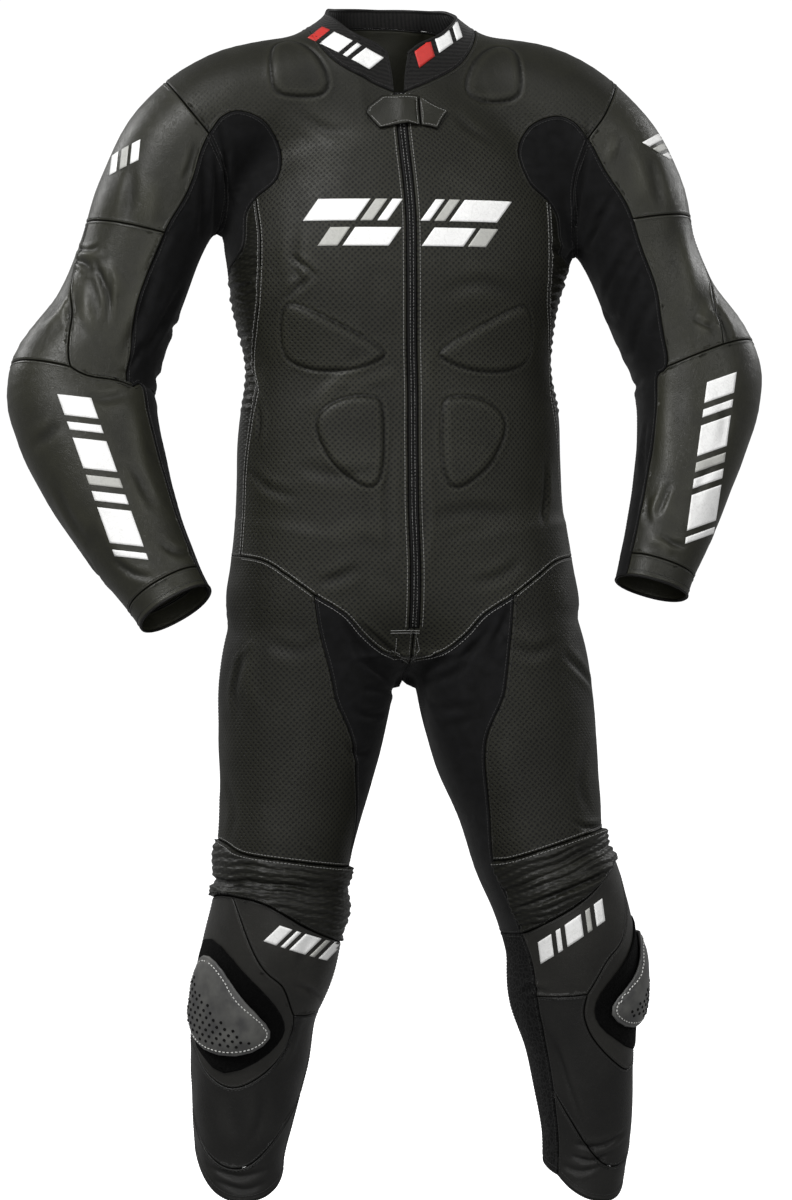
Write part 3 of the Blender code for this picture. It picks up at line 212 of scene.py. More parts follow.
# The corner points of each panel, in order. A point of the other side starts with "-".
CENTRE_PANELS = {
    "collar": (
        "neck_front neck_side neck_nape -neck_side -neck_front -collar_front collar_nape collar_front"),
    "zip_tape": "neck_front zip_foot zip_end -zip_foot -neck_front",
    "yoke": "neck_side neck_nape -neck_side -shoulder -armhole_back yoke_middle armhole_back shoulder",
    "back": (
        "armhole_back yoke_middle -armhole_back -armpit -side_top -waist_side waist_middle waist_side "
        "side_top armpit"),
    "seat": "waist_side waist_middle -waist_side -hip_back -seat_corner seat seat_corner hip_back",
}
SIDE_PANELS = {
    "front": (
        "neck_front neck_side shoulder armhole_front lobe_foot hip_front thigh_corner crotch_front "
        "zip_end zip_foot"),
    "underarm": "armhole_front lobe_foot side_top armpit",
    "side": "side_top lobe_foot hip_front hip_back waist_side",
    "upper_sleeve": "shoulder armhole_front mid_front mid_cup mid_back armhole_back",
    "inner_sleeve": (
        "armhole_front mid_front elbow_front cuff_front cuff_end_front cuff_inner cuff_end_back "
        "cuff_back elbow_back mid_back armhole_back armpit"),
    "mid_sleeve": "mid_front mid_cup elbow_cup elbow_front",
    "elbow": "mid_cup mid_back elbow_back elbow_cup",
    "forearm": "elbow_front elbow_cup elbow_back cuff_back cuff_front",
    "cuff": "cuff_front cuff_back cuff_end_back cuff_end_front",
    "thigh_front": "hip_front hip_back pleat_outer pleat_inner thigh_corner",
    "thigh_back": "hip_back seat_corner knee_back knee_outer pleat_outer",
    "inner_thigh": "thigh_corner crotch_front seat seat_corner knee_back knee_inner pleat_inner",
    "knee_pleats": "pleat_outer pleat_inner knee_inner knee_arc knee_outer",
    "knee_inner": "knee_arc knee_inner calf_front cup_inner",
    "knee_cup": "knee_outer knee_arc cup_inner cup_outer",
    "shin": "cup_inner cup_outer shin_outer shin_inner calf_front",
    "ankle": "shin_outer shin_inner hem_inner hem_outer",
    "calf_stretch": "knee_inner calf_front shin_inner hem_inner hem_back knee_back",
    "calf_back": "knee_outer cup_outer shin_outer hem_outer hem_back knee_back",
}

# Quilted pads, raised in the outside of the wall. Outline as spots, seen square to the face.
Pad = namedtuple("Pad", "panel rise edge outline")
PADS = [Pad("front", rise, 7, tuple(("front", *place) for place in places)) for rise, places in (
    (4.5, (
        (35, -370), (88, -338), (140, -315), (151, -341), (146, -375), (122, -391), (83, -394),
        (47, -385))),
    (4.5, (
        (36, -438), (52, -424), (86, -428), (110, -445), (112, -469), (90, -508), (52, -532),
        (36, -508))),
    (3.5, ((90, -30), (106, -8), (128, 2), (148, -6), (152, -46), (141, -64), (100, -66), (85, -54))),
)]

# Ribs across a panel: chart heights between which they run, measured as the chart measures them.
Ribs = namedtuple("Ribs", "panel pitch rise low high")
RIBS = (
    Ribs("side", 10.0, 2.2, -440.0, -250.0),
    Ribs("knee_pleats", 8.0, 2.6, 4.8 * STATION, 6.5 * STATION),
)
PLEAT_PUFF = 5.0  # the knee pleats swell this far above and below their deepest fold
PLEAT_PERIOD = 48.0

# The outlines of what lies on a panel: each half of the neck tab, the tape and the slider on it.
TAB_OUTLINES = {name: tuple(("front", *place) for place in places) for name, places in (
    ("neck_tab_outer", (
        (-42, -87), (-39, -79), (-21, -65), (22, -66), (22, -102), (7, -100), (-27, -106))),
    ("neck_tab_inner", (
        (22.6, -66), (57, -83), (42, -106), (22.6, -102))),
)}
KNEE_OUTLINES = {name: tuple(("leg", *place) for place in places) for name, places in (
    ("knee_hook_tape", (
        (98, 6.85), (66, 6.76), (38, 7.08), (14, 7.42), (-2, 7.75), (-9, 8.12), (-4, 8.45), (14, 8.76),
        (46, 9.05), (72, 8.86), (98, 8.5), (107, 7.7))),
    ("knee_slider", (
        (74, 7.02), (90, 7.2), (100, 7.7), (101, 8.2), (84, 8.55), (52, 8.68), (22, 8.56), (7, 8.26),
        (13, 7.92), (36, 7.5), (56, 7.14))),
)}

# --- The surface ---------------------------------------------------------------------------------

PER_STATION = 6
BLOCK = 20000  # points worked out together
SLACK = 6.0  # keeps the bends of a tube free of ripples, which the solids have between their sections


def smooth(rows, per_span):
    """A curve through the rows, per_span pieces between each two."""
    rows = np.asarray(rows, float)
    slope = np.gradient(rows, axis=0)
    u = (np.arange(per_span) / per_span)[:, None]
    spans = [
        a * (1 + 2 * u) * (1 - u) ** 2 + sa * u * (1 - u) ** 2
        + b * u * u * (3 - 2 * u) + sb * u * u * (u - 1)
        for a, b, sa, sb in zip(rows, rows[1:], slope, slope[1:])
    ]
    return np.vstack(spans + [rows[-1:]])


def smooth_loop(rows, per_span):
    """A closed curve through the rows."""
    rows = np.asarray(rows, float)
    curve = smooth(np.vstack([rows[-2:], rows, rows[:2]]), per_span)
    return curve[2 * per_span:(2 + len(rows)) * per_span]


def unit(v):
    return v / np.maximum(np.linalg.norm(v, axis=-1, keepdims=True), 1e-12)


def dot(a, b):
    return (a * b).sum(-1)


class Tube:
    """Sections along an axis. Its frame: t along the axis, f to the section's front, s across."""

    def __init__(self, sections, end=1.0):
        rows = smooth(sections, PER_STATION)
        self.c, self.size, turn = rows[:, :3], rows[:, 3:6], np.radians(rows[:, 6])
        self.end = end
        self.t = unit(np.gradient(self.c, axis=0))
        f = np.stack([np.sin(turn), -np.cos(turn), 0 * turn], axis=1)
        self.f = unit(f - dot(f, self.t)[:, None] * self.t)
        self.s = np.cross(self.f, self.t)
        reach = self.size.max() + 130.0
        self.low, self.high = self.c.min(0) - reach, self.c.max(0) + reach

    def nearest(self, p):
        """The place on the axis, in samples, that is nearest to each point."""
        far = (self.c * self.c).sum(1) - 2 * p @ self.c.T
        k = far.argmin(1)
        place = k.astype(float)
        best = np.full(len(p), np.inf)
        for first in (np.maximum(k - 1, 0), np.minimum(k, len(self.c) - 2)):
            a, d = self.c[first], self.c[first + 1] - self.c[first]
            w = np.clip(dot(p - a, d) / dot(d, d), 0, 1)
            e = dot(p - a - w[:, None] * d, p - a - w[:, None] * d)
            better = e < best
            best = np.where(better, e, best)
            place = np.where(better, first + w, place)
        return place

    def at(self, place, values):
        k = np.clip(place.astype(int), 0, len(values) - 2)
        w = (place - k)[:, None]
        return values[k] * (1 - w) + values[k + 1] * w

    def field(self, p, slack):
        far = np.full(len(p), 100.0)
        near = np.flatnonzero(((p > self.low) & (p < self.high)).all(1))
        for block in np.array_split(near, len(near) // BLOCK + 1):
            far[block] = self.depth(p[block], slack)
        return far

    def depth(self, p, slack):
        place = self.nearest(p)
        q = p - self.at(place, self.c)
        across = dot(q, unit(self.at(place, self.s)))
        forward = dot(q, unit(self.at(place, self.f)))
        along = dot(q, unit(self.at(place, self.t)))
        half, front, back = self.at(place, self.size).T
        depth = np.where(forward > 0, front, back)
        r = np.hypot(across, forward) + 1e-9
        rho = (np.abs(across / half) ** SECTION_POWER + np.abs(forward / depth) ** SECTION_POWER)
        rho = np.maximum(rho ** (1 / SECTION_POWER), 1e-9)
        return r - r / rho + self.end * np.maximum(np.abs(along) - slack, 0)


def blend(a, b, radius):
    near = np.maximum(radius - np.abs(a - b), 0) / radius
    return np.minimum(a, b) - near * near * radius / 4


BODY = Tube(TORSO, end=3.0)
ARMS = {-1: Tube(ARM_LEFT), 1: Tube(ARM_RIGHT)}
LEGS = {-1: Tube(LEG_LEFT), 1: Tube(LEG_RIGHT)}


def field(p, slack=SLACK):
    """Below 0 inside the suit, 0 on its outer face, and about the distance outside."""
    legs = blend(LEGS[-1].field(p, slack), LEGS[1].field(p, slack), CROTCH_BLEND)
    body = blend(BODY.field(p, slack), legs, BLEND)
    arms = np.minimum(ARMS[-1].field(p, slack), ARMS[1].field(p, slack))
    return blend(body, arms, BLEND)


def gradient(p, step=0.5):
    moves = np.eye(3) * step
    return np.stack([field(p + m) - field(p - m) for m in moves], axis=1) / (2 * step)


def normals(p):
    return unit(gradient(p, 2.0))


def settled(p, rounds=10):
    """The points moved onto the surface. A point that doesn't come to rest there stays where it was."""
    start = p
    for _ in range(rounds):
        g = gradient(p)
        p = p - np.clip(field(p) / np.maximum(dot(g, g), 0.3), -6, 6)[:, None] * g
    lost = np.linalg.norm(p - start, axis=1) > 25
    p[lost] = start[lost]
    return p


def batched(work, arrays):
    """Does the work once on all the arrays' rows together."""
    ends = np.cumsum([len(a) for a in arrays])[:-1]
    return np.split(work(np.vstack(arrays)), ends)


def within(points, loop):
    """Whether each point lies inside the closed loop, in the plane."""
    x, y = points[:, :1], points[:, 1:]
    ax, ay = loop[:, 0], loop[:, 1]
    bx, by = np.roll(ax, -1), np.roll(ay, -1)
    rise = np.where(by == ay, 1e-12, by - ay)
    crossed = ((ay > y) != (by > y)) & (x < (bx - ax) * (y - ay) / rise + ax)
    return crossed.sum(1) % 2 == 1


# Share of the field's value that a ray is moved by at a time.
RATE_FROM_INSIDE, RATE_FROM_FAR = -0.65, 0.6
AT_REST = 0.002


def cast(start, way, inside):
    """Where rays meet the surface: from inside, or coming in from far away."""
    rate = RATE_FROM_INSIDE if inside else RATE_FROM_FAR
    r = np.zeros(len(start))
    for _ in range(120):
        f = field(start + r[:, None] * way)
        r = np.maximum(r + rate * f, 0)
        if np.abs(f).max() < AT_REST:
            break
    return start + r[:, None] * way


# --- Charts --------------------------------------------------------------------------------------

ACROSS = np.array([math.cos(YAW), math.sin(YAW), 0.0])
FORWARD = np.array([math.sin(YAW), -math.cos(YAW), 0.0])
UP = np.array([0.0, 0.0, 1.0])


def torso_axis(z):
    order = np.argsort(BODY.c[:, 2])
    known = BODY.c[order]
    x, y = (np.interp(z, known[:, 2], known[:, k]) for k in (0, 1))
    return np.stack([x, y, z], axis=1)


def torso_uv(p):
    """Angle round the torso, and height."""
    q = p - torso_axis(p[:, 2])
    return np.stack([np.arctan2(q @ ACROSS, q @ FORWARD) * TORSO_RADIUS, p[:, 2]], axis=1)


class LimbChart:
    """Angle from the limb's front towards its outer side, and station along its sections."""

    radius = LIMB_RADIUS

    def __init__(self, tube, side):
        self.tube, self.side = tube, side

    def frame(self, place):
        return self.tube.at(place, self.tube.c), [
            unit(self.tube.at(place, v)) for v in (self.tube.t, self.tube.f, self.side * self.tube.s)
        ]

    def uv(self, p):
        place = self.tube.nearest(p)
        for _ in range(4):
            c, (t, f, s) = self.frame(place)
            ahead = self.tube.at(np.clip(place + 0.5, 0, len(self.tube.c) - 1.001), self.tube.c)
            behind = self.tube.at(np.clip(place - 0.5, 0, len(self.tube.c) - 1.001), self.tube.c)
            place = place + 0.8 * dot(p - c, t) / np.linalg.norm(ahead - behind, axis=1)
            place = np.clip(place, 0, len(self.tube.c) - 1.001)
        c, (t, f, s) = self.frame(place)
        angle = np.arctan2(dot(p - c, s), dot(p - c, f))
        return np.stack([angle * self.radius, place * STATION / PER_STATION], axis=1)

    def point(self, uv):
        place = np.clip(uv[:, 1] * PER_STATION / STATION, 0, len(self.tube.c) - 1.001)
        c, (_, f, s) = self.frame(place)
        angle = (uv[:, 0] / self.radius)[:, None]
        return cast(c, np.cos(angle) * f + np.sin(angle) * s, inside=True)


CHARTS = {
    side: {"arm": LimbChart(ARMS[side], side), "leg": LimbChart(LEGS[side], side)} for side in (-1, 1)
}


# Height that the centre line is taken at, and the height that the ray starts from.
LOOKS_UP_OR_DOWN = {"top": (-40.0, 300.0), "armpit": (-240.0, -330.0), "under": (-700.0, -1100.0)}


def ray(face, a, b, side):
    """Start and direction of the ray that finds a spot, and whether it starts inside the suit."""
    if face in ("arm", "leg"):
        chart = CHARTS[side][face]
        place = np.clip([b * PER_STATION], 0, len(chart.tube.c) - 1.001)
        c, (_, f, s) = chart.frame(place)
        angle = math.radians(a)
        return c[0], (math.cos(angle) * f + math.sin(angle) * s)[0], True
    if face == "ring":
        angle = math.radians(a) * side
        way = math.sin(angle) * ACROSS + math.cos(angle) * FORWARD
        return torso_axis(np.array([b]))[0], way, True
    if face in LOOKS_UP_OR_DOWN:
        height, start = LOOKS_UP_OR_DOWN[face]
        base = torso_axis(np.array([height]))[0] + side * a * ACROSS - b * FORWARD
        base[2] = start
        return base, UP if height > start else -UP, False
    if face == "ahead":
        return np.array([a, -FAR, b]), np.array([0.0, 1.0, 0.0]), False
    if face == "behind":
        return np.array([a, FAR, b]), np.array([0.0, -1.0, 0.0]), False
    way = -FORWARD if face == "front" else FORWARD
    return torso_axis(np.array([b]))[0] + side * a * ACROSS - 400.0 * way, way, False


FOUND = {}


def find(places):
    """Finds many places on the cloth together: (face, a, b, side)."""
    new = [place for place in dict.fromkeys(places) if place not in FOUND]
    rays = [ray(*place) for place in new]
    for inside in (True, False):
        group = [k for k, r in enumerate(rays) if r[2] == inside]
        if group:
            start = np.array([rays[k][0] for k in group])
            way = np.array([rays[k][1] for k in group])
            for k, p in zip(group, cast(start, way, inside)):
                FOUND[new[k]] = p
    return [FOUND[place] for place in places]


def unwrapped(uv, radius):
    """The loop's points with no jump of a whole turn between them."""
    turns = np.cumsum(np.r_[0, np.round(np.diff(uv[:, 0]) / (2 * math.pi * radius))])
    return np.stack([uv[:, 0] - (turns * 2 * math.pi * radius if turns.any() else 0), uv[:, 1]], axis=1)


# Folds, by the face that they are placed on. Each row: half width, height (less than 0 for a
# crease), the places that it passes, as X and Z for "ahead" and "behind", and last, where it isn't
# FOLD_LEAN, how far the steep side of a raised fold leans. Those of the limbs are on both sides.
Fold = namedtuple("Fold", "face side width height lean places")
FOLD_LEAN = 0.5
FOLD_ROWS = {
    "ahead": (
        (5, -2.4, -388, -257, -379, -267, -368, -280), (5, -3.2, -370, -263, -358, -290, -351, -318),
        (5, -2.6, -350, -276, -351, -309, -355, -340), (6, -2.2, -398, -306, -399, -327, -398, -346),
        (9, 3.2, -393, -273, -401, -306, -417, -329, -432, -342, 0.7),
        (8, 2.6, -386, -278, -380, -325, -367, -351), (7, 2.4, -357, -263, -346, -284, -340, -306),
        (10, -2.4, -323, -148, -328, -188, -334, -223), (10, 2.4, -301, -165, -305, -196, -310, -223),
        (6, -2.2, -248, -121, -253, -145, -263, -168), (7, -2.8, -240, -132, -240, -182, -246, -235),
        (6, -2.6, -224, -121, -226, -179, -234, -230), (6, -2.2, -212, -113, -213, -145, -219, -179),
        (8, -3, -293, -257, -311, -315, -333, -370), (9, -3, -265, -286, -289, -333, -317, -379),
        (7, -2.4, -277, -220, -296, -257, -309, -283), (6, -2.4, -312, -359, -323, -380, -333, -399),
        (4, -2, -394, -242, -381, -248, -364, -244), (4, -1.8, -397, -257, -386, -264, -379, -278),
        (5, 2, -388, -249, -371, -257, -359, -252), (9, -2.2, -444, -480, -427, -472, -410, -457),
        (9, -2.4, -323, -503, -310, -531, -296, -559), (10, 2, -325, -426, -319, -472, -309, -518),
        (8, 2, -364, -569, -340, -607, -321, -624), (7, -2.4, -292, -595, -272, -609, -252, -612),
        (6, -1.8, -345, -617, -321, -634, -296, -639), (10, -1.8, -417, -520, -396, -569, -369, -603),
        (8, -2, -379, -424, -355, -428, -330, -421), (12, 2.2, 335, -213, 339, -266, 346, -317),
        (7, -2.6, 371, -309, 384, -333, 391, -358), (7, 2, 364, -298, 357, -329, 359, -356),
        (5, -2, 345, -324, 357, -334, 371, -339), (6, -2.8, 241, -195, 231, -218, 219, -240),
        (6, -2.4, 253, -174, 240, -196, 226, -215), (7, -2.8, 272, -237, 250, -273, 241, -302),
        (8, -2.6, 299, -298, 280, -339, 275, -365), (6, -2.2, 292, -257, 270, -302, 263, -329),
        (12, 2.2, 313, -378, 309, -448, 311, -518), (8, -2.6, 290, -448, 286, -484, 286, -520),
        (6, -2.6, 316, -525, 309, -544, 300, -566), (5, -2.2, 306, -588, 318, -597, 335, -603),
        (6, 2, 289, -593, 304, -599, 318, -612), (7, -2, 292, -540, 289, -559, 292, -578),
        (6, 1.8, 243, -140, 250, -123, 253, -106), (10, -2, 296, -133, 304, -169, 309, -198),
        (9, 2, 270, -121, 280, -157, 284, -189), (9, -2, 371, -414, 384, -448, 376, -486),
        (8, -1.8, 345, -551, 357, -520, 371, -499), (5, -3, 221, -87, 215, -143, 208, -200, 203, -234),
        (5, -3, -221, -90, -214, -145, -206, -201), (5, -1.9, -136, -258, -120, -270, -105, -283),
        (6, -2.1, -142, -309, -125, -294, -108, -282), (8, 2.2, -29, -378, -83, -409, -113, -442),
        (7, 1.8, -8, -393, -42, -405, -74, -416), (7, -2.8, -194, -368, -184, -394, -174, -422),
        (6, -2.2, -174, -432, -174, -460, -178, -484), (9, -2.4, -106, -646, -79, -639, -54, -627),
        (7, -2.6, 169, -497, 169, -538, 166, -578), (5, -3.2, -217, -273, -206, -290, -194, -307),
        (5, -2.8, -192, -276, -202, -293, -212, -310), (7, -4.2, 173, -242, 197, -253, 221, -243),
        (6, -2.8, 175, -269, 194, -278, 212, -273), (5, -2.8, -211, -339, -197, -350, -184, -352),
        (5, -2.6, -208, -390, -195, -399, -179, -397), (5, -2.8, 178, -339, 191, -347, 204, -342),
        (5, -2.4, 173, -378, 185, -382, 200, -375), (5, -2.6, 178, -421, 189, -428, 197, -424),
        (12, -1.6, -127, -506, -79, -518, -24, -513), (12, -1.5, 30, -569, 79, -559, 129, -564),
        (11, 1.5, -93, -594, -52, -583, -8, -594), (12, -1.4, 38, -302, 91, -290, 139, -302),
        (10, -1.5, -127, -220, -132, -257, -122, -302), (9, -1.6, 57, -82, 79, -104, 110, -121),
        (9, -1.5, -127, -85, -96, -106, -67, -109), (10, 1.4, 30, -339, 25, -390, 33, -436),
        (8, -1.8, -188, -508, -163, -532, -127, -544), (9, -1.8, 139, -617, 115, -636, 79, -646),
        (7, -1.8, 18, -508, 23, -569, 18, -629), (7, -1.6, -16, -472, -21, -544, -16, -617),
        (6, -3.6, -74, -688, -57, -716, -33, -748), (5, -3.2, -57, -691, -30, -714, -1, -738),
        (5, -2.8, -64, -714, -47, -741, -21, -762), (6, -3, -54, -767, -33, -773, -13, -772),
        (6, -2.4, -64, -794, -47, -803, -25, -801), (7, -2.4, -71, -835, -57, -849, -42, -847),
        (7, -4, 83, -714, 60, -751, 23, -765), (6, -3, 123, -675, 114, -699, 100, -724),
        (8, -2.8, 28, -790, 57, -794, 90, -788), (8, -2.4, 39, -812, 62, -812, 86, -805),
        (6, -2.8, 100, -701, 79, -724, 57, -738), (8, -2.4, -196, -732, -204, -774, -198, -806),
        (9, 2, -180, -714, -188, -757, -180, -799), (4, -1.6, -116, -958, -105, -970, -98, -975),
        (10, -1.6, -214, -883, -204, -915, -209, -951), (11, -1.6, -166, -714, -127, -726, -96, -714),
        (8, -3, 188, -728, 209, -748, 227, -774), (5, -2.6, 200, -928, 217, -937, 236, -937),
        (6, 1.8, 167, -968, 200, -958, 236, -944), (9, -1.8, 218, -835, 209, -883, 221, -922),
        (10, -1.8, 115, -714, 151, -728, 188, -714),
        (6, -5, -229, -995, -209, -1004, -145, -1014, -75, -1025),
        (7, 2.2, -219, -985, -151, -993, -79, -992), (5, -4.4, 138, -1030, 188, -1010, 241, -990),
        (7, 2.2, 129, -1004, 178, -990, 236, -970), (5, -2.8, 203, -1320, 234, -1324, 265, -1308),
        (4, -2.2, 200, -1335, 226, -1342, 250, -1331), (5, -2, 188, -1346, 212, -1355, 236, -1348),
        (4, -1.6, 178, -1191, 195, -1241, 214, -1297), (5, -2, -241, -1343, -202, -1359, -163, -1350),
        (5, -1.8, -231, -1362, -195, -1375, -166, -1367),
        (9, 1.6, -221, -1258, -217, -1295, -204, -1324),
        (8, -1.8, -173, -1249, -173, -1283, -185, -1319),
        (9, -1.6, -127, -1101, -117, -1077, -108, -1062), (9, -1.6, 161, -1162, 183, -1210, 195, -1258),
        (6, -2.2, -127, -1162, -139, -1198, -156, -1229),
        (5, -2, -132, -1123, -113, -1130, -100, -1145), (5, -2, 139, -1137, 151, -1130, 173, -1133),
    ),
    "behind": (
        (14, 2.4, -62, -150, -74, -225, -64, -300), (14, 2.2, 70, -160, 80, -235, 66, -310),
        (12, -3, -120, -432, -40, -446, 62, -440), (13, -3, 132, -470, 50, -483, -60, -478),
        (12, -2.6, -92, -521, 0, -531, 104, -516), (10, -2.4, -140, -398, -90, -408, -30, -402),
        (10, -2.2, 20, -412, 90, -404, 140, -390), (9, -3, -178, -190, -140, -240, -96, -272),
        (9, -3, 172, -196, 138, -238, 88, -262), (8, -2.6, -196, -222, -160, -280, -128, -310),
        (8, -2.4, 190, -232, 156, -276, 120, -306), (10, -1.8, -20, -340, 16, -352, 58, -344),
        (10, -3, -132, -700, -80, -730, -22, -738), (10, -3.2, 26, -736, 90, -728, 140, -696),
        (8, -3.6, -152, -772, -112, -790, -60, -786), (8, -3.6, 58, -788, 110, -782, 156, -764),
        (8, -2.6, -176, -812, -140, -826, -96, -820), (8, -2.8, 86, -826, 136, -820, 178, -804),
        (8, -2.8, -150, -648, -120, -672, -70, -684), (8, -2.6, 152, -642, 116, -668, 74, -680),
        (10, 2, -110, -590, -60, -604, -10, -600), (10, 2, 20, -604, 64, -602, 112, -584),
        (8, -4.2, -196, -1008, -160, -1022, -116, -1012),
        (8, -3.8, -202, -1036, -166, -1048, -124, -1040), (7, -3, -190, -980, -158, -990, -122, -984),
        (8, -4.2, 140, -1006, 180, -1020, 218, -1008), (8, -3.8, 146, -1038, 186, -1046, 224, -1034),
        (7, -2.8, 138, -978, 172, -986, 208, -978), (8, -2.4, -218, -1200, -190, -1216, -156, -1210),
        (8, -2.4, 186, -1204, 214, -1214, 244, -1200), (7, -2.4, -214, -1300, -190, -1312, -160, -1306),
        (7, -2.4, 190, -1306, 216, -1314, 242, -1304), (10, -2.2, -180, -880, -150, -900, -120, -940),
        (10, -2.2, 130, -884, 160, -910, 176, -950),
    ),
    "arm": (
        (8, -3.2, 250, 5.4, 275, 5.7, 300, 5.75), (8, -3, 245, 6.1, 270, 6.3, 298, 6.35),
        (7, -2.6, 240, 6.8, 262, 7, 290, 7.1), (9, -2.4, 120, 2.2, 150, 2.6, 176, 2.7),
        (9, 2.4, 110, 3, 140, 3.4, 170, 3.5), (8, -2.4, 120, 8.4, 140, 9.1, 150, 9.9),
        (9, -2.4, 170, 7.9, 186, 8.6, 190, 9.4), (8, -2.2, 80, 10.1, 110, 10.4, 140, 10.3),
        (8, -2.6, 190, 5, 205, 5.5, 208, 6.1), (7, -2.6, 110, 6, 130, 6.25, 160, 6.3),
        (7, 2.2, 105, 6.5, 135, 6.7, 165, 6.6),
    ),
    "leg": (
        (10, -2.4, 120, 2.6, 140, 3, 165, 3.1), (10, -2.2, 115, 3.9, 135, 4.2, 160, 4.1),
        (9, -2.4, 110, 7.4, 130, 7.9, 150, 8), (9, -2.2, 118, 8.9, 132, 9.5, 150, 9.9),
    ),
}
# On the left, some of an arm's folds pass a little lower.
LEFT_PLACES = {
    (250, 5.4): (250, 5.52), (270, 6.3): (270, 6.42), (290, 7.1): (290, 7.16), (110, 3): (110, 3.12),
}


def folds_of(face, side):
    """The face's folds. Side 0 is the side that a fold's first place lies on."""
    for width, height, *rest in FOLD_ROWS[face]:
        lean = rest.pop() if len(rest) % 2 else FOLD_LEAN
        places = tuple(zip(rest[0::2], rest[1::2]))
        if face == "arm" and side < 0:
            places = tuple(LEFT_PLACES.get(place, place) for place in places)
        yield Fold(face, side or (1 if rest[0] > 0 else -1), width, height, lean, places)


FACES = (("ahead", 0), ("behind", 1), ("arm", -1), ("leg", -1), ("arm", 1), ("leg", 1))
FOLDS = [fold for face, side in FACES for fold in folds_of(face, side)]

CENTRE_NAMES = {spot.name for spot in CENTRE_SPOTS}
SPOT_PLACES = {spot.name: spot[1:] for spot in SPOTS + CENTRE_SPOTS}


def all_places():
    """Every place in the tables, so that they are found together."""
    for side in (-1, 1):
        for spot in SPOTS:
            yield spot.face, spot.a, spot.b, side
        for seam in SEAMS:
            yield from ((*place, side) for place in seam.via)
        outlines = (*(pad.outline for pad in PADS), *KNEE_OUTLINES.values(), *TAB_OUTLINES.values())
        for outline in outlines:
            yield from ((*place, side) for place in outline)
    for spot in CENTRE_SPOTS:
        yield spot.face, spot.a, spot.b, 1
    for fold in FOLDS:
        yield from ((fold.face, *place, fold.side) for place in fold.places)


def even(curve, step):
    """The curve cut into equal pieces of about the step."""
    run = np.r_[0, np.cumsum(np.linalg.norm(np.diff(curve, axis=0), axis=1))]
    marks = np.linspace(0, run[-1], max(2, math.ceil(run[-1] / step) + 1))
    return np.stack([np.interp(marks, run, curve[:, k]) for k in range(3)], axis=1)


def on_cloth(routes, steps):
    """A smooth curve on the surface through the places of each route."""
    curves = [smooth(r, 12) if len(r) > 2 else even(np.asarray(r), 20.0) for r in routes]
    curves = batched(lambda p: settled(p, 6), curves)
    curves = [even(curve, step) for curve, step in zip(curves, steps)]
    return batched(lambda p: settled(p, 3), curves)


def seam_lines():
    """Each seam as a dense curve, by its two ends and side."""
    centre = {spot.name: FOUND[(*spot[1:], 1)] for spot in CENTRE_SPOTS}
    routes, lines = {}, {}
    for side in (-1, 1):
        ends = {spot.name: FOUND[(*spot[1:], side)] for spot in SPOTS} | centre
        for seam in SEAMS:
            route = [ends[seam.start], *find([(*place, side) for place in seam.via]), ends[seam.end]]
            routes[seam.start, seam.end, side, seam.chart] = np.array(route)
    free = [key for key in routes if key[3] == "free"]
    for key, line in zip(free, on_cloth([routes[key] for key in free], [SEAM_LINE_STEP] * len(free))):
        lines[key[:3]] = line
    for side in (-1, 1):
        for name in ("arm", "leg"):
            keys = [key for key in routes if key[2:] == (side, name)]
            chart = CHARTS[side][name]
            flat = [smooth(unwrapped(chart.uv(routes[key]), chart.radius), 12) for key in keys]
            curves = batched(chart.point, flat)
            for key, curve in zip(keys, curves):
                curve[0], curve[-1] = routes[key][0], routes[key][-1]
            curves = batched(lambda p: settled(p, 3), [even(curve, SEAM_LINE_STEP) for curve in curves])
            for key, curve in zip(keys, curves):
                lines[key[:3]] = curve
    return lines


SEAM_LINE_STEP = 2.5
find(tuple(all_places()))
SEAM_LINES = seam_lines()


def straight_seam(ends):
    return on_cloth([np.array(find(list(ends)))], [SEAM_LINE_STEP])[0]


def piece_lines(piece, side):
    """The seam curves round a piece, a straight one where the tables give none."""
    names = (CENTRE_PANELS | SIDE_PANELS).get(piece, "").split()
    other = 1 if piece in CENTRE_PANELS else side
    corners = [(name.lstrip("-"), -1 if name.startswith("-") else other) for name in names]
    lines = []
    for (a, sa), (b, sb) in zip(corners, corners[1:] + corners[:1]):
        lone = sb if a in CENTRE_NAMES else sa
        if a in CENTRE_NAMES and b in CENTRE_NAMES:
            lone = 1
        for key in ((a, b, lone), (b, a, lone)):
            if key in SEAM_LINES and (sa == sb or a in CENTRE_NAMES or b in CENTRE_NAMES):
                lines.append(SEAM_LINES[key])
                break
        else:
            ends = ((*SPOT_PLACES[c], 1 if c in CENTRE_NAMES else d) for c, d in ((a, sa), (b, sb)))
            lines.append(straight_seam(ends))
    return lines


# --- Form of the cloth: pads, ribs, folds ----------------------------------------------------------

# Of the edge, the two rings of points inside it, and the rest: a seam's two edges turn down.
EDGE_HEIGHT = np.array([-1.3, 0.35, 0.1, 0.0])
# Painted shade: the seam's groove and the strip beside it are painted darker.
EDGE_PAINTED_SHADE = np.array([1.0, 0.3, 0.0, 0.0])
# Wear and a painted highlight: the rolled edges beside a seam are painted lighter.
EDGE_WEAR_AND_HIGHLIGHT = np.array([0.0, 0.35, 0.2, 0.0])
EDGE_RIBS = np.array([0.0, 0.25, 0.8, 1.0])
EDGE_RINGS = (1.6, 3.2)  # width of the two strips along an edge


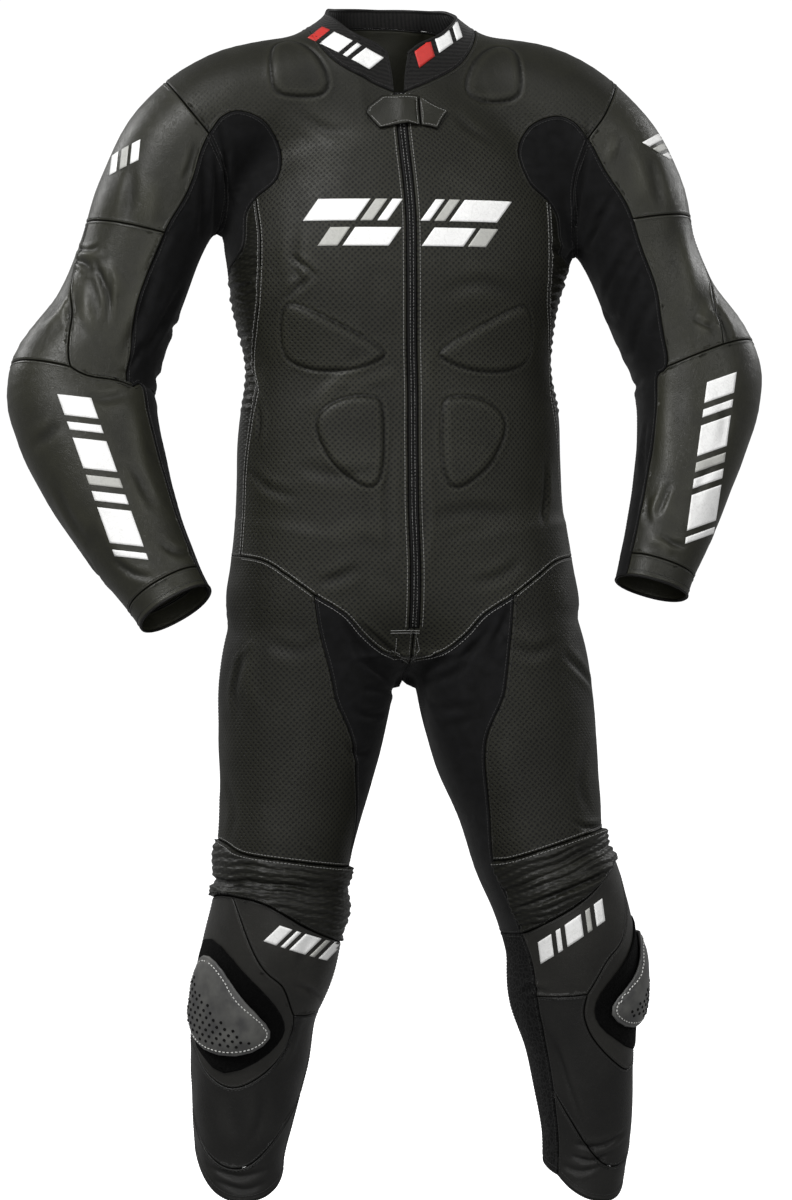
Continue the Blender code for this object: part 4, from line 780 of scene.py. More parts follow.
def nearest_on_line(p, line):
    """For each point: distance to the line, share of the way along it, and offset from it."""
    a, d = line[:-1], np.diff(line, axis=0)
    length = np.maximum(dot(d, d), 1e-9)
    best, share = np.full(len(p), np.inf), np.zeros(len(p))
    offset, way = np.zeros_like(p), np.zeros_like(p)
    for k in range(len(d)):
        q = p - a[k]
        w = np.clip(q @ d[k] / length[k], 0, 1)
        o = q - w[:, None] * d[k]
        e = dot(o, o)
        closer = e < best
        best[closer], share[closer] = e[closer], (k + w[closer]) / len(d)
        offset[closer], way[closer] = o[closer], d[k]
    return np.sqrt(best), share, offset, way


# How far a fold reaches to each side, and its part that needs short edges, in its half widths.
FOLD_REACH, FOLD_CORE = 3.2, 2.2


def fold_lines():
    routes = [
        np.array(find([(fold.face, *place, fold.side) for place in fold.places])) for fold in FOLDS
    ]
    steps = [max(4.0, 0.8 * fold.width) for fold in FOLDS]
    return list(zip(FOLDS, on_cloth(routes, steps)))


FOLD_LINES = fold_lines()


def near_line(p, line, reach):
    """Which points lie in the box round the line."""
    return np.flatnonzero(((p > line.min(0) - reach) & (p < line.max(0) + reach)).all(1))


def taper(share):
    """1 along most of a fold, and 0 at its ends."""
    return np.clip(np.sin(math.pi * share), 0, 1) ** 0.7


def folds_at(p, n):
    height = np.zeros(len(p))
    for fold, line in FOLD_LINES:
        near = near_line(p, line, FOLD_REACH * fold.width)
        if not len(near):
            continue
        far, share, offset, way = nearest_on_line(p[near], line)
        side = np.sign(dot(np.cross(n[near], way), offset))
        d = side * far / fold.width
        if fold.height > 0:
            shape = np.exp(-((d - 0.2) ** 2)) - 0.45 * fold.lean * np.exp(-((d + 1.35) / 0.55) ** 2)
            shape -= 0.22 * np.exp(-(((np.abs(d) - 1.9) / 0.8) ** 2))
        else:
            shape = np.exp(-((d / 0.62) ** 2)) - 0.5 * np.exp(-(((np.abs(d) - 1.3) / 0.75) ** 2))
        height[near] += fold.height * taper(share) * shape
    return height


def fold_detail(p):
    """The longest edge that still shows the folds at each point."""
    want = np.full(len(p), 99.0)
    for fold, line in FOLD_LINES:
        reach = FOLD_CORE * fold.width
        near = near_line(p, line, reach)
        if len(near):
            far = nearest_on_line(p[near], line[::2] if len(line) > 4 else line)[0]
            short = np.minimum(want[near], max(0.5 * fold.width, 2.4))
            want[near] = np.where(far < reach, short, want[near])
    return want


rng = np.random.default_rng(11)
RIPPLE = 0.55  # height of the cloth's slow unevenness
# Each wave of it: way and length, phase and share.
WAVES = [
    (unit(rng.normal(size=3)) * 2 * math.pi / rng.uniform(45, 170),
     rng.uniform(0, 7), rng.uniform(0.5, 1))
    for _ in range(14)
]


def ripple(p):
    """Slow unevenness of worn cloth, about 1 either way."""
    return sum(a * np.sin(p @ k + phase) for k, phase, a in WAVES) / 3.2


class PadShape:
    """A quilted pad: stitched down along its outline and full inside."""

    def __init__(self, pad, side):
        ring = np.array(find([(*place, side) for place in pad.outline]))
        self.ring = settled(smooth_loop(ring, 8))
        self.ring = np.vstack([self.ring, self.ring[:1]])
        self.rise, self.edge = pad.rise, pad.edge
        self.middle = self.ring.mean(0)
        self.reach = np.linalg.norm(self.ring - self.middle, axis=1).max() + 14

    def depth(self, p):
        """Distance inside the outline, less than 0 outside it."""
        depth = np.full(len(p), -99.0)
        near = np.flatnonzero(np.linalg.norm(p - self.middle, axis=1) < self.reach)
        if len(near):
            plane = np.stack([ACROSS, UP], axis=1)
            far = nearest_on_line(p[near], self.ring)[0]
            inside = within(p[near] @ plane, self.ring[:-1] @ plane)
            depth[near] = np.where(inside, far, -far)
        return depth

    def height(self, p):
        d = self.depth(p)
        w = np.clip(d / (self.edge + 3.0), 0, 1)
        dome = self.rise * np.sqrt(np.clip(1 - (1 - w) ** 2, 0, 1))
        return dome - 1.1 * np.exp(-((d / 1.7) ** 2)) + 0.5 * np.exp(-(((d + 4.5) / 3.0) ** 2))


def smoothstep(x):
    x = np.clip(x, 0, 1)
    return x * x * (3 - 2 * x)


def rib_height(piece, side, p):
    ribs = next(row for row in RIBS if row.panel == piece)
    u, v = (torso_uv(p) if piece == "side" else CHARTS[side]["leg"].uv(p)).T
    place = v + 1.3 * np.sin(u / 17.0 + v / 31.0) + 0.9 * np.sin(u / 7.0 - v / 19.0)
    wave = 0.5 - 0.5 * np.cos(2 * math.pi * (place - ribs.low) / ribs.pitch)
    strength = 0.75 + 0.25 * np.sin(u / 9.0 + 2.2 * np.sin(v / 13.0))
    height = ribs.rise * (wave ** 0.8) * strength - 0.4
    if piece == "knee_pleats":
        height += PLEAT_PUFF * np.abs(np.sin(math.pi * (v - ribs.low) / PLEAT_PERIOD))
    ends = smoothstep((v - ribs.low + 3) / 8) * smoothstep((ribs.high + 3 - v) / 8)
    return height * ends


# --- From a solid's outer face to a finished sheet -------------------------------------------------


def coordinates(bm):
    return np.array([v.co[:] for v in bm.verts])


def tidy(bm):
    bm.verts.ensure_lookup_table()
    bm.verts.index_update()
    bm.edges.ensure_lookup_table()
    bm.faces.ensure_lookup_table()


def outer_sheet(node):
    """The solid's outer face, in millimetres. Each point's height over the form is kept in a layer."""
    bm = bmesh.new()
    bm.from_mesh(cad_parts[node].data)
    bmesh.ops.scale(bm, vec=(1 / MM,) * 3, verts=bm.verts[:])
    bmesh.ops.remove_doubles(bm, verts=bm.verts[:], dist=0.01)
    tidy(bm)
    centres = np.array([f.calc_center_median()[:] for f in bm.faces])
    ways = np.array([f.normal[:] for f in bm.faces])
    high = field(coordinates(bm), 0.0)
    lies_on = high.min() > 0.2
    out = np.array([min(high[v.index] for v in f.verts) > -0.9 for f in bm.faces])
    out &= dot(ways, normals(centres)) > (0.4 if lies_on else -0.3)
    bmesh.ops.delete(bm, geom=[f for f in bm.faces if not out[f.index]], context="FACES")
    tidy(bm)
    layer = bm.verts.layers.float.new("lift")
    for v, h in zip(bm.verts, field(coordinates(bm), 0.0)):
        v[layer] = h if lies_on else 0.0
    keep_largest(bm)
    put(bm, settled(coordinates(bm), 6))
    return bm


def keep_largest(bm):
    """Deletes all but the largest joined group of faces."""
    tidy(bm)
    group = {}
    for face in bm.faces:
        if face in group:
            continue
        stack, found = [face], []
        group[face] = found
        while stack:
            f = stack.pop()
            found.append(f)
            for edge in f.edges:
                for g in edge.link_faces:
                    if g not in group:
                        group[g] = found
                        stack.append(g)
    largest = max(group.values(), key=len)
    bmesh.ops.delete(bm, geom=[f for f in bm.faces if group[f] is not largest], context="FACES")
    tidy(bm)


def put(bm, points):
    for v, p in zip(bm.verts, points):
        v.co = p


def lay_out(bm):
    """Flattens the sheet into its UV map, at true size in metres, with V upwards."""
    mesh = bpy.data.meshes.new("pattern")
    for face in bm.faces:
        face.select = True
    bm.to_mesh(mesh)
    obj = bpy.data.objects.new("pattern", mesh)
    bpy.context.scene.collection.objects.link(obj)
    bpy.context.view_layer.objects.active = obj
    for other in bpy.context.selected_objects:
        other.select_set(False)
    obj.select_set(True)
    bpy.ops.object.mode_set(mode="EDIT")
    bpy.ops.mesh.select_all(action="SELECT")
    bpy.ops.uv.unwrap(method="ANGLE_BASED", margin=0.0)
    bpy.ops.object.mode_set(mode="OBJECT")
    bm.clear()
    bm.from_mesh(mesh)
    bpy.data.objects.remove(obj)
    bpy.data.meshes.remove(mesh)
    tidy(bm)
    layer = bm.loops.layers.uv.verify()
    solid, flat, rise = 0.0, 0.0, np.zeros(2)
    for f in bm.faces:
        (a, b, c), (p, q, r) = [v.co for v in f.verts], [l[layer].uv for l in f.loops]
        e, g = q - p, r - p
        area = e.x * g.y - e.y * g.x
        solid += f.calc_area()
        flat += area / 2
        up, over = b.z - a.z, c.z - a.z
        if abs(area) > 1e-12:
            rise += np.array([up * g.y - over * e.y, over * e.x - up * g.x]) / 2
    grow = math.sqrt(solid / abs(flat)) * MM
    rise /= max(np.hypot(*rise), 1e-12)
    if flat < 0:
        rise = -rise
    turn = np.array([[rise[1], -rise[0]], [rise[0], rise[1]]]) * grow
    for f in bm.faces:
        for l in f.loops:
            x, y = turn @ np.array(l[layer].uv[:])
            l[layer].uv = (-x if flat < 0 else x, y)
    points = np.array([l[layer].uv[:] for f in bm.faces for l in f.loops])
    return points.max(0) - points.min(0), solid * MM * MM


def cut_finer(bm, want):
    """Halves edges until none is longer than wanted where it lies."""
    for _ in range(12):
        tidy(bm)
        co = coordinates(bm)
        ends = np.array([(e.verts[0].index, e.verts[1].index) for e in bm.edges])
        a, b = co[ends[:, 0]], co[ends[:, 1]]
        length = np.linalg.norm(a - b, axis=1)
        long = length > 1.3 * SHORTEST
        long[long] = length[long] > 1.3 * want((a[long] + b[long]) / 2)
        if not long.any():
            break
        known = len(bm.verts)
        bmesh.ops.subdivide_edges(bm, edges=[bm.edges[k] for k in np.flatnonzero(long)], cuts=1)
        many = [f for f in bm.faces if len(f.verts) > 3]
        bmesh.ops.triangulate(bm, faces=many, quad_method="SHORT_EDGE", ngon_method="BEAUTY")
        tidy(bm)
        new = coordinates(bm)
        new[known:] = settled(new[known:], 2)
        put(bm, new)


def even_out(bm, rounds):
    inner = [v for v in bm.verts if not v.is_boundary]
    for _ in range(rounds):
        bmesh.ops.beautify_fill(
            bm, faces=bm.faces[:], edges=[e for e in bm.edges if not e.is_boundary], method="ANGLE")
        bmesh.ops.smooth_vert(
            bm, verts=inner, factor=0.5, use_axis_x=True, use_axis_y=True, use_axis_z=True)
    tidy(bm)
    put(bm, settled(coordinates(bm), 2))


SNAP = 9.0  # an edge further than this from every seam stays where it is


def snap_edge(bm, lines):
    """Moves the edge's points onto the smooth seam lines."""
    if not lines:
        return
    points = np.vstack([even(line, 0.6) for line in lines])
    tree = KDTree(len(points))
    for k, p in enumerate(points):
        tree.insert(p, k)
    tree.balance()
    for v in bm.verts:
        if v.is_boundary:
            found, _, far = tree.find(v.co)
            if far < SNAP:
                v.co = found
    bmesh.ops.remove_doubles(bm, verts=[v for v in bm.verts if v.is_boundary], dist=0.6)
    tidy(bm)


def edge_strips(bm):
    """Adds the two strips along the edge. Returns each point's ring, counted from the edge, up to 3."""
    for width in EDGE_RINGS[::-1]:
        bmesh.ops.inset_region(
            bm, faces=bm.faces[:], use_boundary=True, use_even_offset=False, thickness=width)
        tidy(bm)
    ring = np.full(len(bm.verts), 3)
    level = [v for v in bm.verts if v.is_boundary]
    for k in range(3):
        for v in level:
            ring[v.index] = min(ring[v.index], k)
        joined = [edge.other_vert(v) for v in level for edge in v.link_edges]
        level = [v for v in joined if ring[v.index] > k + 1]
    return ring


# Longest edges of the sheets, in millimetres.
FINE_PIECES = {
    "front", "underarm", "upper_sleeve", "mid_sleeve", "elbow", "forearm", "inner_sleeve",
    "thigh_front", "knee_inner", "knee_cup", "shin", "cuff", "collar", "neck_tab_outer",
    "neck_tab_inner", "zip_tape",
}
COARSER = 1.35
FOLDS_COARSER = 1.35
FINE_LENGTH, PLAIN_LENGTH = 4.2 * COARSER, 6.0 * COARSER
RIB_LENGTH = 2.6
PAD_LENGTH = 2.8
SHORTEST = 2.5
RIBBED = ("side", "knee_pleats")


def detail(piece, side):
    """A function that gives the longest edge wanted at each point, and the piece's pads."""
    pads = [PadShape(pad, side) for pad in PADS if pad.panel == piece]

    def want(p):
        longest = np.full(len(p), FINE_LENGTH if piece in FINE_PIECES else PLAIN_LENGTH)
        longest = np.minimum(longest, fold_detail(p) * FOLDS_COARSER)
        if piece in RIBBED:
            longest = np.minimum(longest, RIB_LENGTH)
        for pad in pads:
            d = pad.depth(p)
            longest = np.where((d > -7) & (d < 12), np.minimum(longest, PAD_LENGTH), longest)
        return longest

    return want, pads


def mark(bm, pads, p, bend, ring):
    """Stores two marks per point: the wear and painted highlight, lighter and glossier on fold ridges,
    rolled seam edges and pads; and the painted shade in seam grooves, fold hollows and pads' stitched
    outlines.
    """
    # Painted shade: darker in the seam groove and in the hollows of the folds.
    crease = EDGE_PAINTED_SHADE[ring] + 0.55 * np.clip(-bend / 3.5, 0, 1)
    # Wear and a painted highlight: lighter on fold ridges.
    worn = EDGE_WEAR_AND_HIGHLIGHT[ring] + 0.5 * np.clip(bend / 2.6, 0, 1)
    for pad in pads:
        d = pad.depth(p)
        # Painted shade along the pad's stitched groove.
        crease += 0.75 * np.exp(-((d / 1.6) ** 2))
        # Wear and a painted highlight on the raised leather outside the groove and on the pad's
        # shoulder.
        worn += 0.35 * np.exp(-(((d + 4.0) / 1.6) ** 2)) + 0.3 * np.exp(-(((d - 7.5) / 3.0) ** 2))
    for name, values in (("crease", crease), ("worn", worn)):
        layer = bm.verts.layers.float.new(name)
        for v, value in zip(bm.verts, np.clip(values, 0, 1)):
            v[layer] = value


def cloth_piece(node, name, thickness, look, slot):
    piece = base_name(node)
    side = -1 if node.endswith("_left") else 1
    bm = outer_sheet(node)
    flat, area = lay_out(bm)
    want, pads = detail(piece, side)
    cut_finer(bm, want)
    snap_edge(bm, piece_lines(piece, side))
    even_out(bm, 2)
    ring = edge_strips(bm)
    tidy(bm)
    layer = bm.verts.layers.float.get("lift")
    lift = np.array([v[layer] for v in bm.verts])
    p = coordinates(bm)
    p = settled(p, 2)
    n = normals(p)
    bend = folds_at(p, n)
    height = lift + bend + RIPPLE * ripple(p)
    for pad in pads:
        height += pad.height(p)
    if piece in RIBBED:
        height += rib_height(piece, side, p) * EDGE_RIBS[ring]
    height += EDGE_HEIGHT[ring]
    mark(bm, pads, p, bend, ring)
    put(bm, (p + height[:, None] * n) * MM)
    made = sum(f.calc_area() for f in bm.faces)
    flat = (flat[0], flat[1] * max(1.0, made / area))
    obj = piece_of(bm, name, look)
    wall = obj.modifiers.new("wall", "SOLIDIFY")
    wall.thickness = thickness * MM
    wall.offset = -1.0
    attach(obj, "root")
    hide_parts(node)
    [max(0.011, float(x)) for x in flat]
    return obj


def piece_of(bm, name, look):
    mesh = bpy.data.meshes.new(name)
    bm.to_mesh(mesh)
    bm.free()
    mesh.shade_smooth()
    mesh.materials.append(look)
    obj = bpy.data.objects.new(name, mesh)
    bpy.context.scene.collection.objects.link(obj)
    return obj


# --- Finishes --------------------------------------------------------------------------------------


class Graph:
    """Short ways to add nodes to a material or to a node group."""

    def __init__(self, tree):
        self.tree = tree

    def put(self, socket, value):
        if isinstance(value, bpy.types.NodeSocket):
            self.tree.links.new(value, socket)
        else:
            socket.default_value = value

    def add(self, kind, inputs=(), **settings):
        node = self.tree.nodes.new(kind)
        for name, value in settings.items():
            setattr(node, name, value)
        for name, value in dict(inputs).items():
            self.put(node.inputs[name], value)
        return node

    def math(self, operation, *values):
        node = self.add("ShaderNodeMath", enumerate(values), operation=operation)
        return node.outputs[0]

    def times(self, a, b):
        return self.math("MULTIPLY", a, b)

    def mapped(self, place, scale, rotation=(0, 0, 0)):
        node = self.add("ShaderNodeMapping", {"Vector": place, "Rotation": rotation, "Scale": scale})
        return node.outputs[0]

    def wave(self, place, scale, distortion, direction):
        return self.add("ShaderNodeTexWave", {
            "Vector": place, "Scale": scale, "Distortion": distortion,
        }, bands_direction=direction).outputs["Fac"]

    def noise(self, place, scale, detail=2.0, distortion=0.0):
        return self.add("ShaderNodeTexNoise", {
            "Vector": place, "Scale": scale, "Detail": detail, "Distortion": distortion}).outputs[0]

    def cells(self, place, scale, feature="F1"):
        node = self.add("ShaderNodeTexVoronoi", {"Vector": place, "Scale": scale}, feature=feature)
        return node.outputs["Distance"]

    def remap(self, value, low, high, to_low=0.0, to_high=1.0):
        node = self.add("ShaderNodeMapRange", enumerate((value, low, high, to_low, to_high)))
        return node.outputs[0]

    def mix(self, share, a, b):
        node = self.add("ShaderNodeMix", {0: share, 6: a, 7: b}, data_type="RGBA")
        return node.outputs[2]

    def over(self, colour, share, strength, top):
        """The colour with another on top of it, where and as much as the share says."""
        return self.mix(self.times(share, strength), colour, top)

    def group(self, tree, inputs=()):
        node = self.add("ShaderNodeGroup", node_tree=tree)
        for name, value in dict(inputs).items():
            self.put(node.inputs[name], value)
        return node.outputs

    def bump(self, height, strength, distance):
        return self.add("ShaderNodeBump", {
            "Height": height, "Strength": strength, "Distance": distance * MM}).outputs[0]

    def place(self):
        return self.add("ShaderNodeTexCoord").outputs["Object"]

    def pattern(self):
        return self.add("ShaderNodeTexCoord").outputs["UV"]

    def marked(self, name):
        return self.add("ShaderNodeAttribute", attribute_name=name).outputs["Fac"]


def group(name, gives, fill):
    """A node group with one vector going in. fill returns what comes out."""
    tree = bpy.data.node_groups.new(name, "ShaderNodeTree")
    tree.interface.new_socket("Vector", in_out="INPUT", socket_type="NodeSocketVector")
    for socket in gives:
        tree.interface.new_socket(socket, in_out="OUTPUT", socket_type="NodeSocketFloat")
    g = Graph(tree)
    out = g.add("NodeGroupOutput")
    for socket, value in zip(gives, fill(g, g.add("NodeGroupInput").outputs[0])):
        g.put(out.inputs[socket], value)
    return tree


def hide_grain(g, place):
    """Cowhide: pebbled grain, shallow veins and slow changes of tone."""
    pebbles = g.cells(place, 640)
    fine = g.noise(place, 1100, 2)
    vein = g.math("ABSOLUTE", g.math("SUBTRACT", g.noise(place, 95, 4, 1.5), 0.5))
    vein = g.remap(vein, 0.0, 0.035, 1.0, 0.0)
    patch = g.noise(place, 300, 2)
    broad = g.remap(g.noise(place, 17, 4, 0.6), 0.32, 0.68, 0.72, 1.3)
    tone = g.times(broad, g.remap(patch, 0.3, 0.7, 0.86, 1.14))
    height = g.math("SUBTRACT", g.math("ADD", g.times(pebbles, 0.8), fine), g.times(vein, 0.9))
    return tone, height, vein


def punched_rows(g, place):
    """Round holes in a diagonal grid, 5 mm apart, and a mask of the leather between them, which gets a
    painted highlight.
    """
    turned = g.mapped(place, (200, 200, 200), (0, 0, math.pi / 4))
    cell = g.add("ShaderNodeVectorMath", {0: turned}, operation="FRACTION").outputs[0]
    cell = g.add("ShaderNodeVectorMath", {0: cell, 1: (0.5, 0.5, 0.0)}, operation="SUBTRACT").outputs[0]
    far = g.add("ShaderNodeVectorMath", {0: cell}, operation="LENGTH").outputs["Value"]
    return g.remap(far, 0.2, 0.29, 1.0, 0.0), g.remap(far, 0.3, 0.6, 0.0, 1.0)


def woven_cloth(g, place):
    """Two-way stretch cloth: fine diagonal weave with soft streaks."""
    over, under = g.wave(place, 310, 0.6, "DIAGONAL"), g.wave(place, 250, 0.8, "X")
    height = g.math("ADD", over, g.times(under, 0.6))
    return height, g.remap(g.noise(place, 60, 5, 0.4), 0.3, 0.7, 0.65, 1.4)


def comb_cloth(g, place):
    """Honeycomb stretch cloth, 6 mm cells with raised walls."""
    wall = g.cells(place, 165, "DISTANCE_TO_EDGE")
    return g.remap(wall, 0.02, 0.16, 1.0, 0.0), g.noise(place, 700, 3)


def knitted_cloth(g, place):
    """Fine knit: upright ribs crossed by courses."""
    ribs, rows = g.wave(place, 62, 0.5, "X"), g.wave(place, 180, 0.4, "Y")
    height = g.math("ADD", ribs, g.times(rows, 0.4))
    return height, g.noise(place, 240, 3)


HIDE = group("hide grain", ("Tone", "Height", "Vein"), hide_grain)
PUNCHED = group("punched rows", ("Hole", "Web"), punched_rows)
WOVEN = group("woven cloth", ("Height", "Tone"), woven_cloth)
COMB = group("comb cloth", ("Wall", "Fuzz"), comb_cloth)
KNITTED = group("knitted cloth", ("Height", "Fuzz"), knitted_cloth)


def grey(value, tint=(1.0, 1.0, 1.0)):
    return (*(value * t for t in tint), 1.0)


def finish(name, build, **constants):
    """A material. build returns colour, roughness and normal; the rest is set on the shader."""
    made = bpy.data.materials.new(name)
    made.use_nodes = True
    shader = made.node_tree.nodes["Principled BSDF"]
    g = Graph(made.node_tree)
    for socket, value in zip(("Base Color", "Roughness", "Normal"), build(g)):
        if value is not None:
            g.put(shader.inputs[socket], value)
    for socket, value in constants.items():
        shader.inputs[socket.replace("_", " ")].default_value = value
    return made


def leather(dark, light, rough, grain=0.32, punched=False, lattice=False, tint=(1.0, 1.0, 0.68)):
    def build(g):
        place = g.place()
        hide = g.group(HIDE, {"Vector": place})
        worn, crease = g.marked("worn"), g.marked("crease")
        colour = g.mix(g.remap(hide["Tone"], 0.6, 1.5), grey(dark, tint), grey(light, tint))
        # Wear and a painted highlight: lighter and glossier on ridges, rolled edges and pad tops.
        colour = g.over(colour, worn, 0.7, grey(light * 2.3, tint))
        # Painted shade in seam grooves, fold hollows and pad outlines.
        colour = g.over(colour, crease, 0.9, grey(0.00152))
        shine = g.remap(hide["Tone"], 0.6, 1.5, rough + 0.07, rough - 0.07)
        shine = g.math("ADD", shine, g.times(worn, -0.08))
        height = hide["Height"]
        if punched:
            rows = g.group(PUNCHED, {"Vector": g.pattern()})
            high = g.add("ShaderNodeSeparateXYZ", {0: place}).outputs["Z"]
            low_enough = g.remap(high, -0.03, -0.13)
            hole = g.times(rows["Hole"], low_enough)
            web_highlight = g.times(rows["Web"], low_enough)
            # Painted highlight: the leather between the holes is painted lighter.
            colour = g.over(colour, web_highlight, 0.32, grey(light * 1.9, tint))
            colour = g.over(colour, hole, 0.93, grey(0.00103))
            height = g.math("SUBTRACT", g.times(height, 0.5), g.times(hole, 2.4))
        if lattice:
            squeezed = (g.mapped(g.pattern(), (0.3 * way, 1, 1)) for way in (1, -1))
            high = g.times(*(g.wave(place, 115, 1.2, "DIAGONAL") for place in squeezed))
            # Painted highlight: the raised lattice is painted lighter.
            colour = g.over(colour, high, 0.5, grey(light * 2.6, tint))
            height = g.math("ADD", g.times(height, 0.5), g.times(high, 2.6))
        return colour, shine, g.bump(height, grain, 0.35)

    return build


def stretch(g):
    cloth = g.group(WOVEN, {"Vector": g.pattern()})
    colour = g.mix(g.remap(cloth["Tone"], 0.6, 1.5), grey(0.00152), grey(0.00428, (1, 1, 1.12)))
    # Wear and a painted highlight on ridges and rolled edges.
    colour = g.over(colour, g.marked("worn"), 0.5, grey(0.01103, (1, 1, 1.1)))
    # Painted shade in seam grooves and fold hollows.
    colour = g.over(colour, g.marked("crease"), 0.85, grey(0.00055))
    return colour, g.remap(cloth["Tone"], 0.6, 1.5, 0.86, 0.7), g.bump(cloth["Height"], 0.4, 0.3)


def honeycomb(g):
    cloth = g.group(COMB, {"Vector": g.pattern()})
    colour = g.mix(cloth["Wall"], grey(0.0013), grey(0.006))
    shine = g.remap(cloth["Wall"], 0, 1, 0.9, 0.62)
    return colour, shine, g.bump(g.math("ADD", cloth["Wall"], g.times(cloth["Fuzz"], 0.3)), 0.7, 0.7)


def knit(g):
    cloth = g.group(KNITTED, {"Vector": g.pattern()})
    colour = g.mix(cloth["Height"], grey(0.00241), grey(0.01034, (1.0, 0.95, 0.9)))
    # Painted shade in seam grooves and fold hollows.
    colour = g.over(colour, g.marked("crease"), 0.6, grey(0.00069))
    return colour, g.remap(cloth["Fuzz"], 0.3, 0.7, 0.9, 0.7), g.bump(cloth["Height"], 0.6, 0.5)


def tape(g):
    cloth = g.group(KNITTED, {"Vector": g.pattern()})
    colour = g.mix(cloth["Height"], grey(0.00083), grey(0.00345))
    return colour, g.remap(cloth["Fuzz"], 0.3, 0.7, 0.75, 0.6), g.bump(cloth["Height"], 0.5, 0.3)


def fuzz(g):
    place = g.place()
    loops = g.math("ADD", g.noise(place, 1500, 3, 0.8), g.times(g.noise(place, 330, 3), 1.3))
    colour = g.mix(g.remap(loops, 0.8, 1.5), grey(0.00041), grey(0.00234))
    return colour, g.remap(loops, 0.8, 1.5, 1.0, 0.85), g.bump(loops, 0.9, 1.4)


def moulded(g):
    place = g.place()
    scuff = g.mapped(place, (900, 900, 60), (0.4, 0.9, 0.2))
    scratch = g.remap(g.noise(scuff, 1.0, 3), 0.62, 0.75)
    cloud = g.noise(place, 45, 3)
    colour = g.mix(g.remap(cloud, 0.35, 0.65), grey(0.05), grey(0.095, (1, 1, 0.94)))
    # Wear and a painted highlight on the slider's edges and ridges.
    colour = g.over(colour, g.marked("worn"), 0.8, grey(0.15))
    colour = g.over(colour, scratch, 0.3, grey(0.13))
    shine = g.remap(cloud, 0.35, 0.65, 0.38, 0.5)
    return colour, shine, g.bump(g.math("ADD", g.noise(place, 900, 2), scratch), 0.2, 0.2)


def metal(g):
    mark = g.noise(g.mapped(g.place(), (2600, 400, 400)), 1.0, 3)
    colour = g.mix(mark, grey(0.008), grey(0.045))
    return colour, g.remap(mark, 0.3, 0.7, 0.5, 0.28), g.bump(mark, 0.25, 0.1)


def thread(value):
    def build(g):
        turn = g.wave(g.place(), 420, 1.5, "DIAGONAL")
        colour = g.mix(turn, grey(value * 0.55), grey(value, (1, 1, 0.95)))
        return colour, g.remap(turn, 0, 1, 0.75, 0.5), g.bump(turn, 0.5, 0.2)

    return build


def printed(colour, worn_colour):
    def build(g):
        hide = g.group(HIDE, {"Vector": g.place()})
        dark = grey(0.9, [c * 0.94 for c in colour])
        tone = g.mix(g.remap(hide["Tone"], 0.6, 1.5), dark, (*colour, 1))
        tone = g.over(tone, hide["Vein"], 0.22, (*worn_colour, 1))
        return tone, g.remap(hide["Tone"], 0.6, 1.5, 0.6, 0.42), g.bump(hide["Height"], 0.15, 0.2)

    return build


def paper(g):
    speck = g.noise(g.place(), 40, 2)
    return g.mix(speck, grey(0.86), grey(0.9)), g.remap(speck, 0.3, 0.7, 0.95, 0.85), None


LOOKS = {
    "leather": finish("leather", leather(0.00966, 0.01862, 0.46), Specular_IOR_Level=0.29),
    # A lighter copy of the leather for the sleeves: painted light, where the sleeves catch more light
    # from above.
    "limb leather": finish(
        "limb leather", leather(0.01241, 0.02483, 0.42), Specular_IOR_Level=0.31),
    # A darker copy of the leather for the shins, ankles and calves: painted shade, as the light falls
    # off downwards.
    "shin leather": finish(
        "shin leather", leather(0.00724, 0.01379, 0.45, tint=(1, 0.98, 0.9)), Specular_IOR_Level=0.276),
    "perforated": finish(
        "perforated leather", leather(0.00862, 0.01655, 0.5, 0.5, True), Specular_IOR_Level=0.234),
    # A darker copy of the perforated leather for the thighs: painted shade, as the light falls off
    # downwards.
    "thigh leather": finish(
        "thigh leather", leather(0.0065, 0.0127, 0.5, 0.5, True), Specular_IOR_Level=0.193),
    "ribbed": finish(
        "ribbed leather", leather(0.0031, 0.00759, 0.46, 0.5, lattice=True), Specular_IOR_Level=0.276),
    "stretch": finish("stretch cloth", stretch, Sheen_Weight=0.041, Specular_IOR_Level=0.152),
    "comb": finish("honeycomb stretch cloth", honeycomb, Specular_IOR_Level=0.207),
    "knit": finish("collar knit", knit, Sheen_Weight=0.1, Specular_IOR_Level=0.172),
    "binding": finish(
        "bound edge", leather(0.00276, 0.00621, 0.55, tint=(1, 0.93, 0.86)), Specular_IOR_Level=0.241),
    "tape": finish("zip tape", tape, Specular_IOR_Level=0.207),
    "fuzz": finish("loop tape", fuzz, Sheen_Weight=0.014, Specular_IOR_Level=0.069),
    "knee leather": finish(
        "knee leather", leather(0.011, 0.0215, 0.44, tint=(1, 0.97, 0.84)), Specular_IOR_Level=0.3),
    "plastic": finish("slider plastic", moulded, Specular_IOR_Level=0.345),
    "grip": finish("grip rubber", fuzz, Specular_IOR_Level=0.207),
    "metal": finish("zip metal", metal, Metallic=1.0),
    "light thread": finish("light thread", thread(0.34)),
    "white thread": finish("white thread", thread(0.8)),
    "dark thread": finish("dark thread", thread(0.03)),
    "white": finish("white print", printed((0.93, 0.93, 0.92), (0.4, 0.4, 0.38))),
    "grey": finish("grey print", printed((0.48, 0.48, 0.45), (0.2, 0.2, 0.19))),
    "red": finish("red print", printed((0.56, 0.022, 0.016), (0.3, 0.03, 0.02))),
}

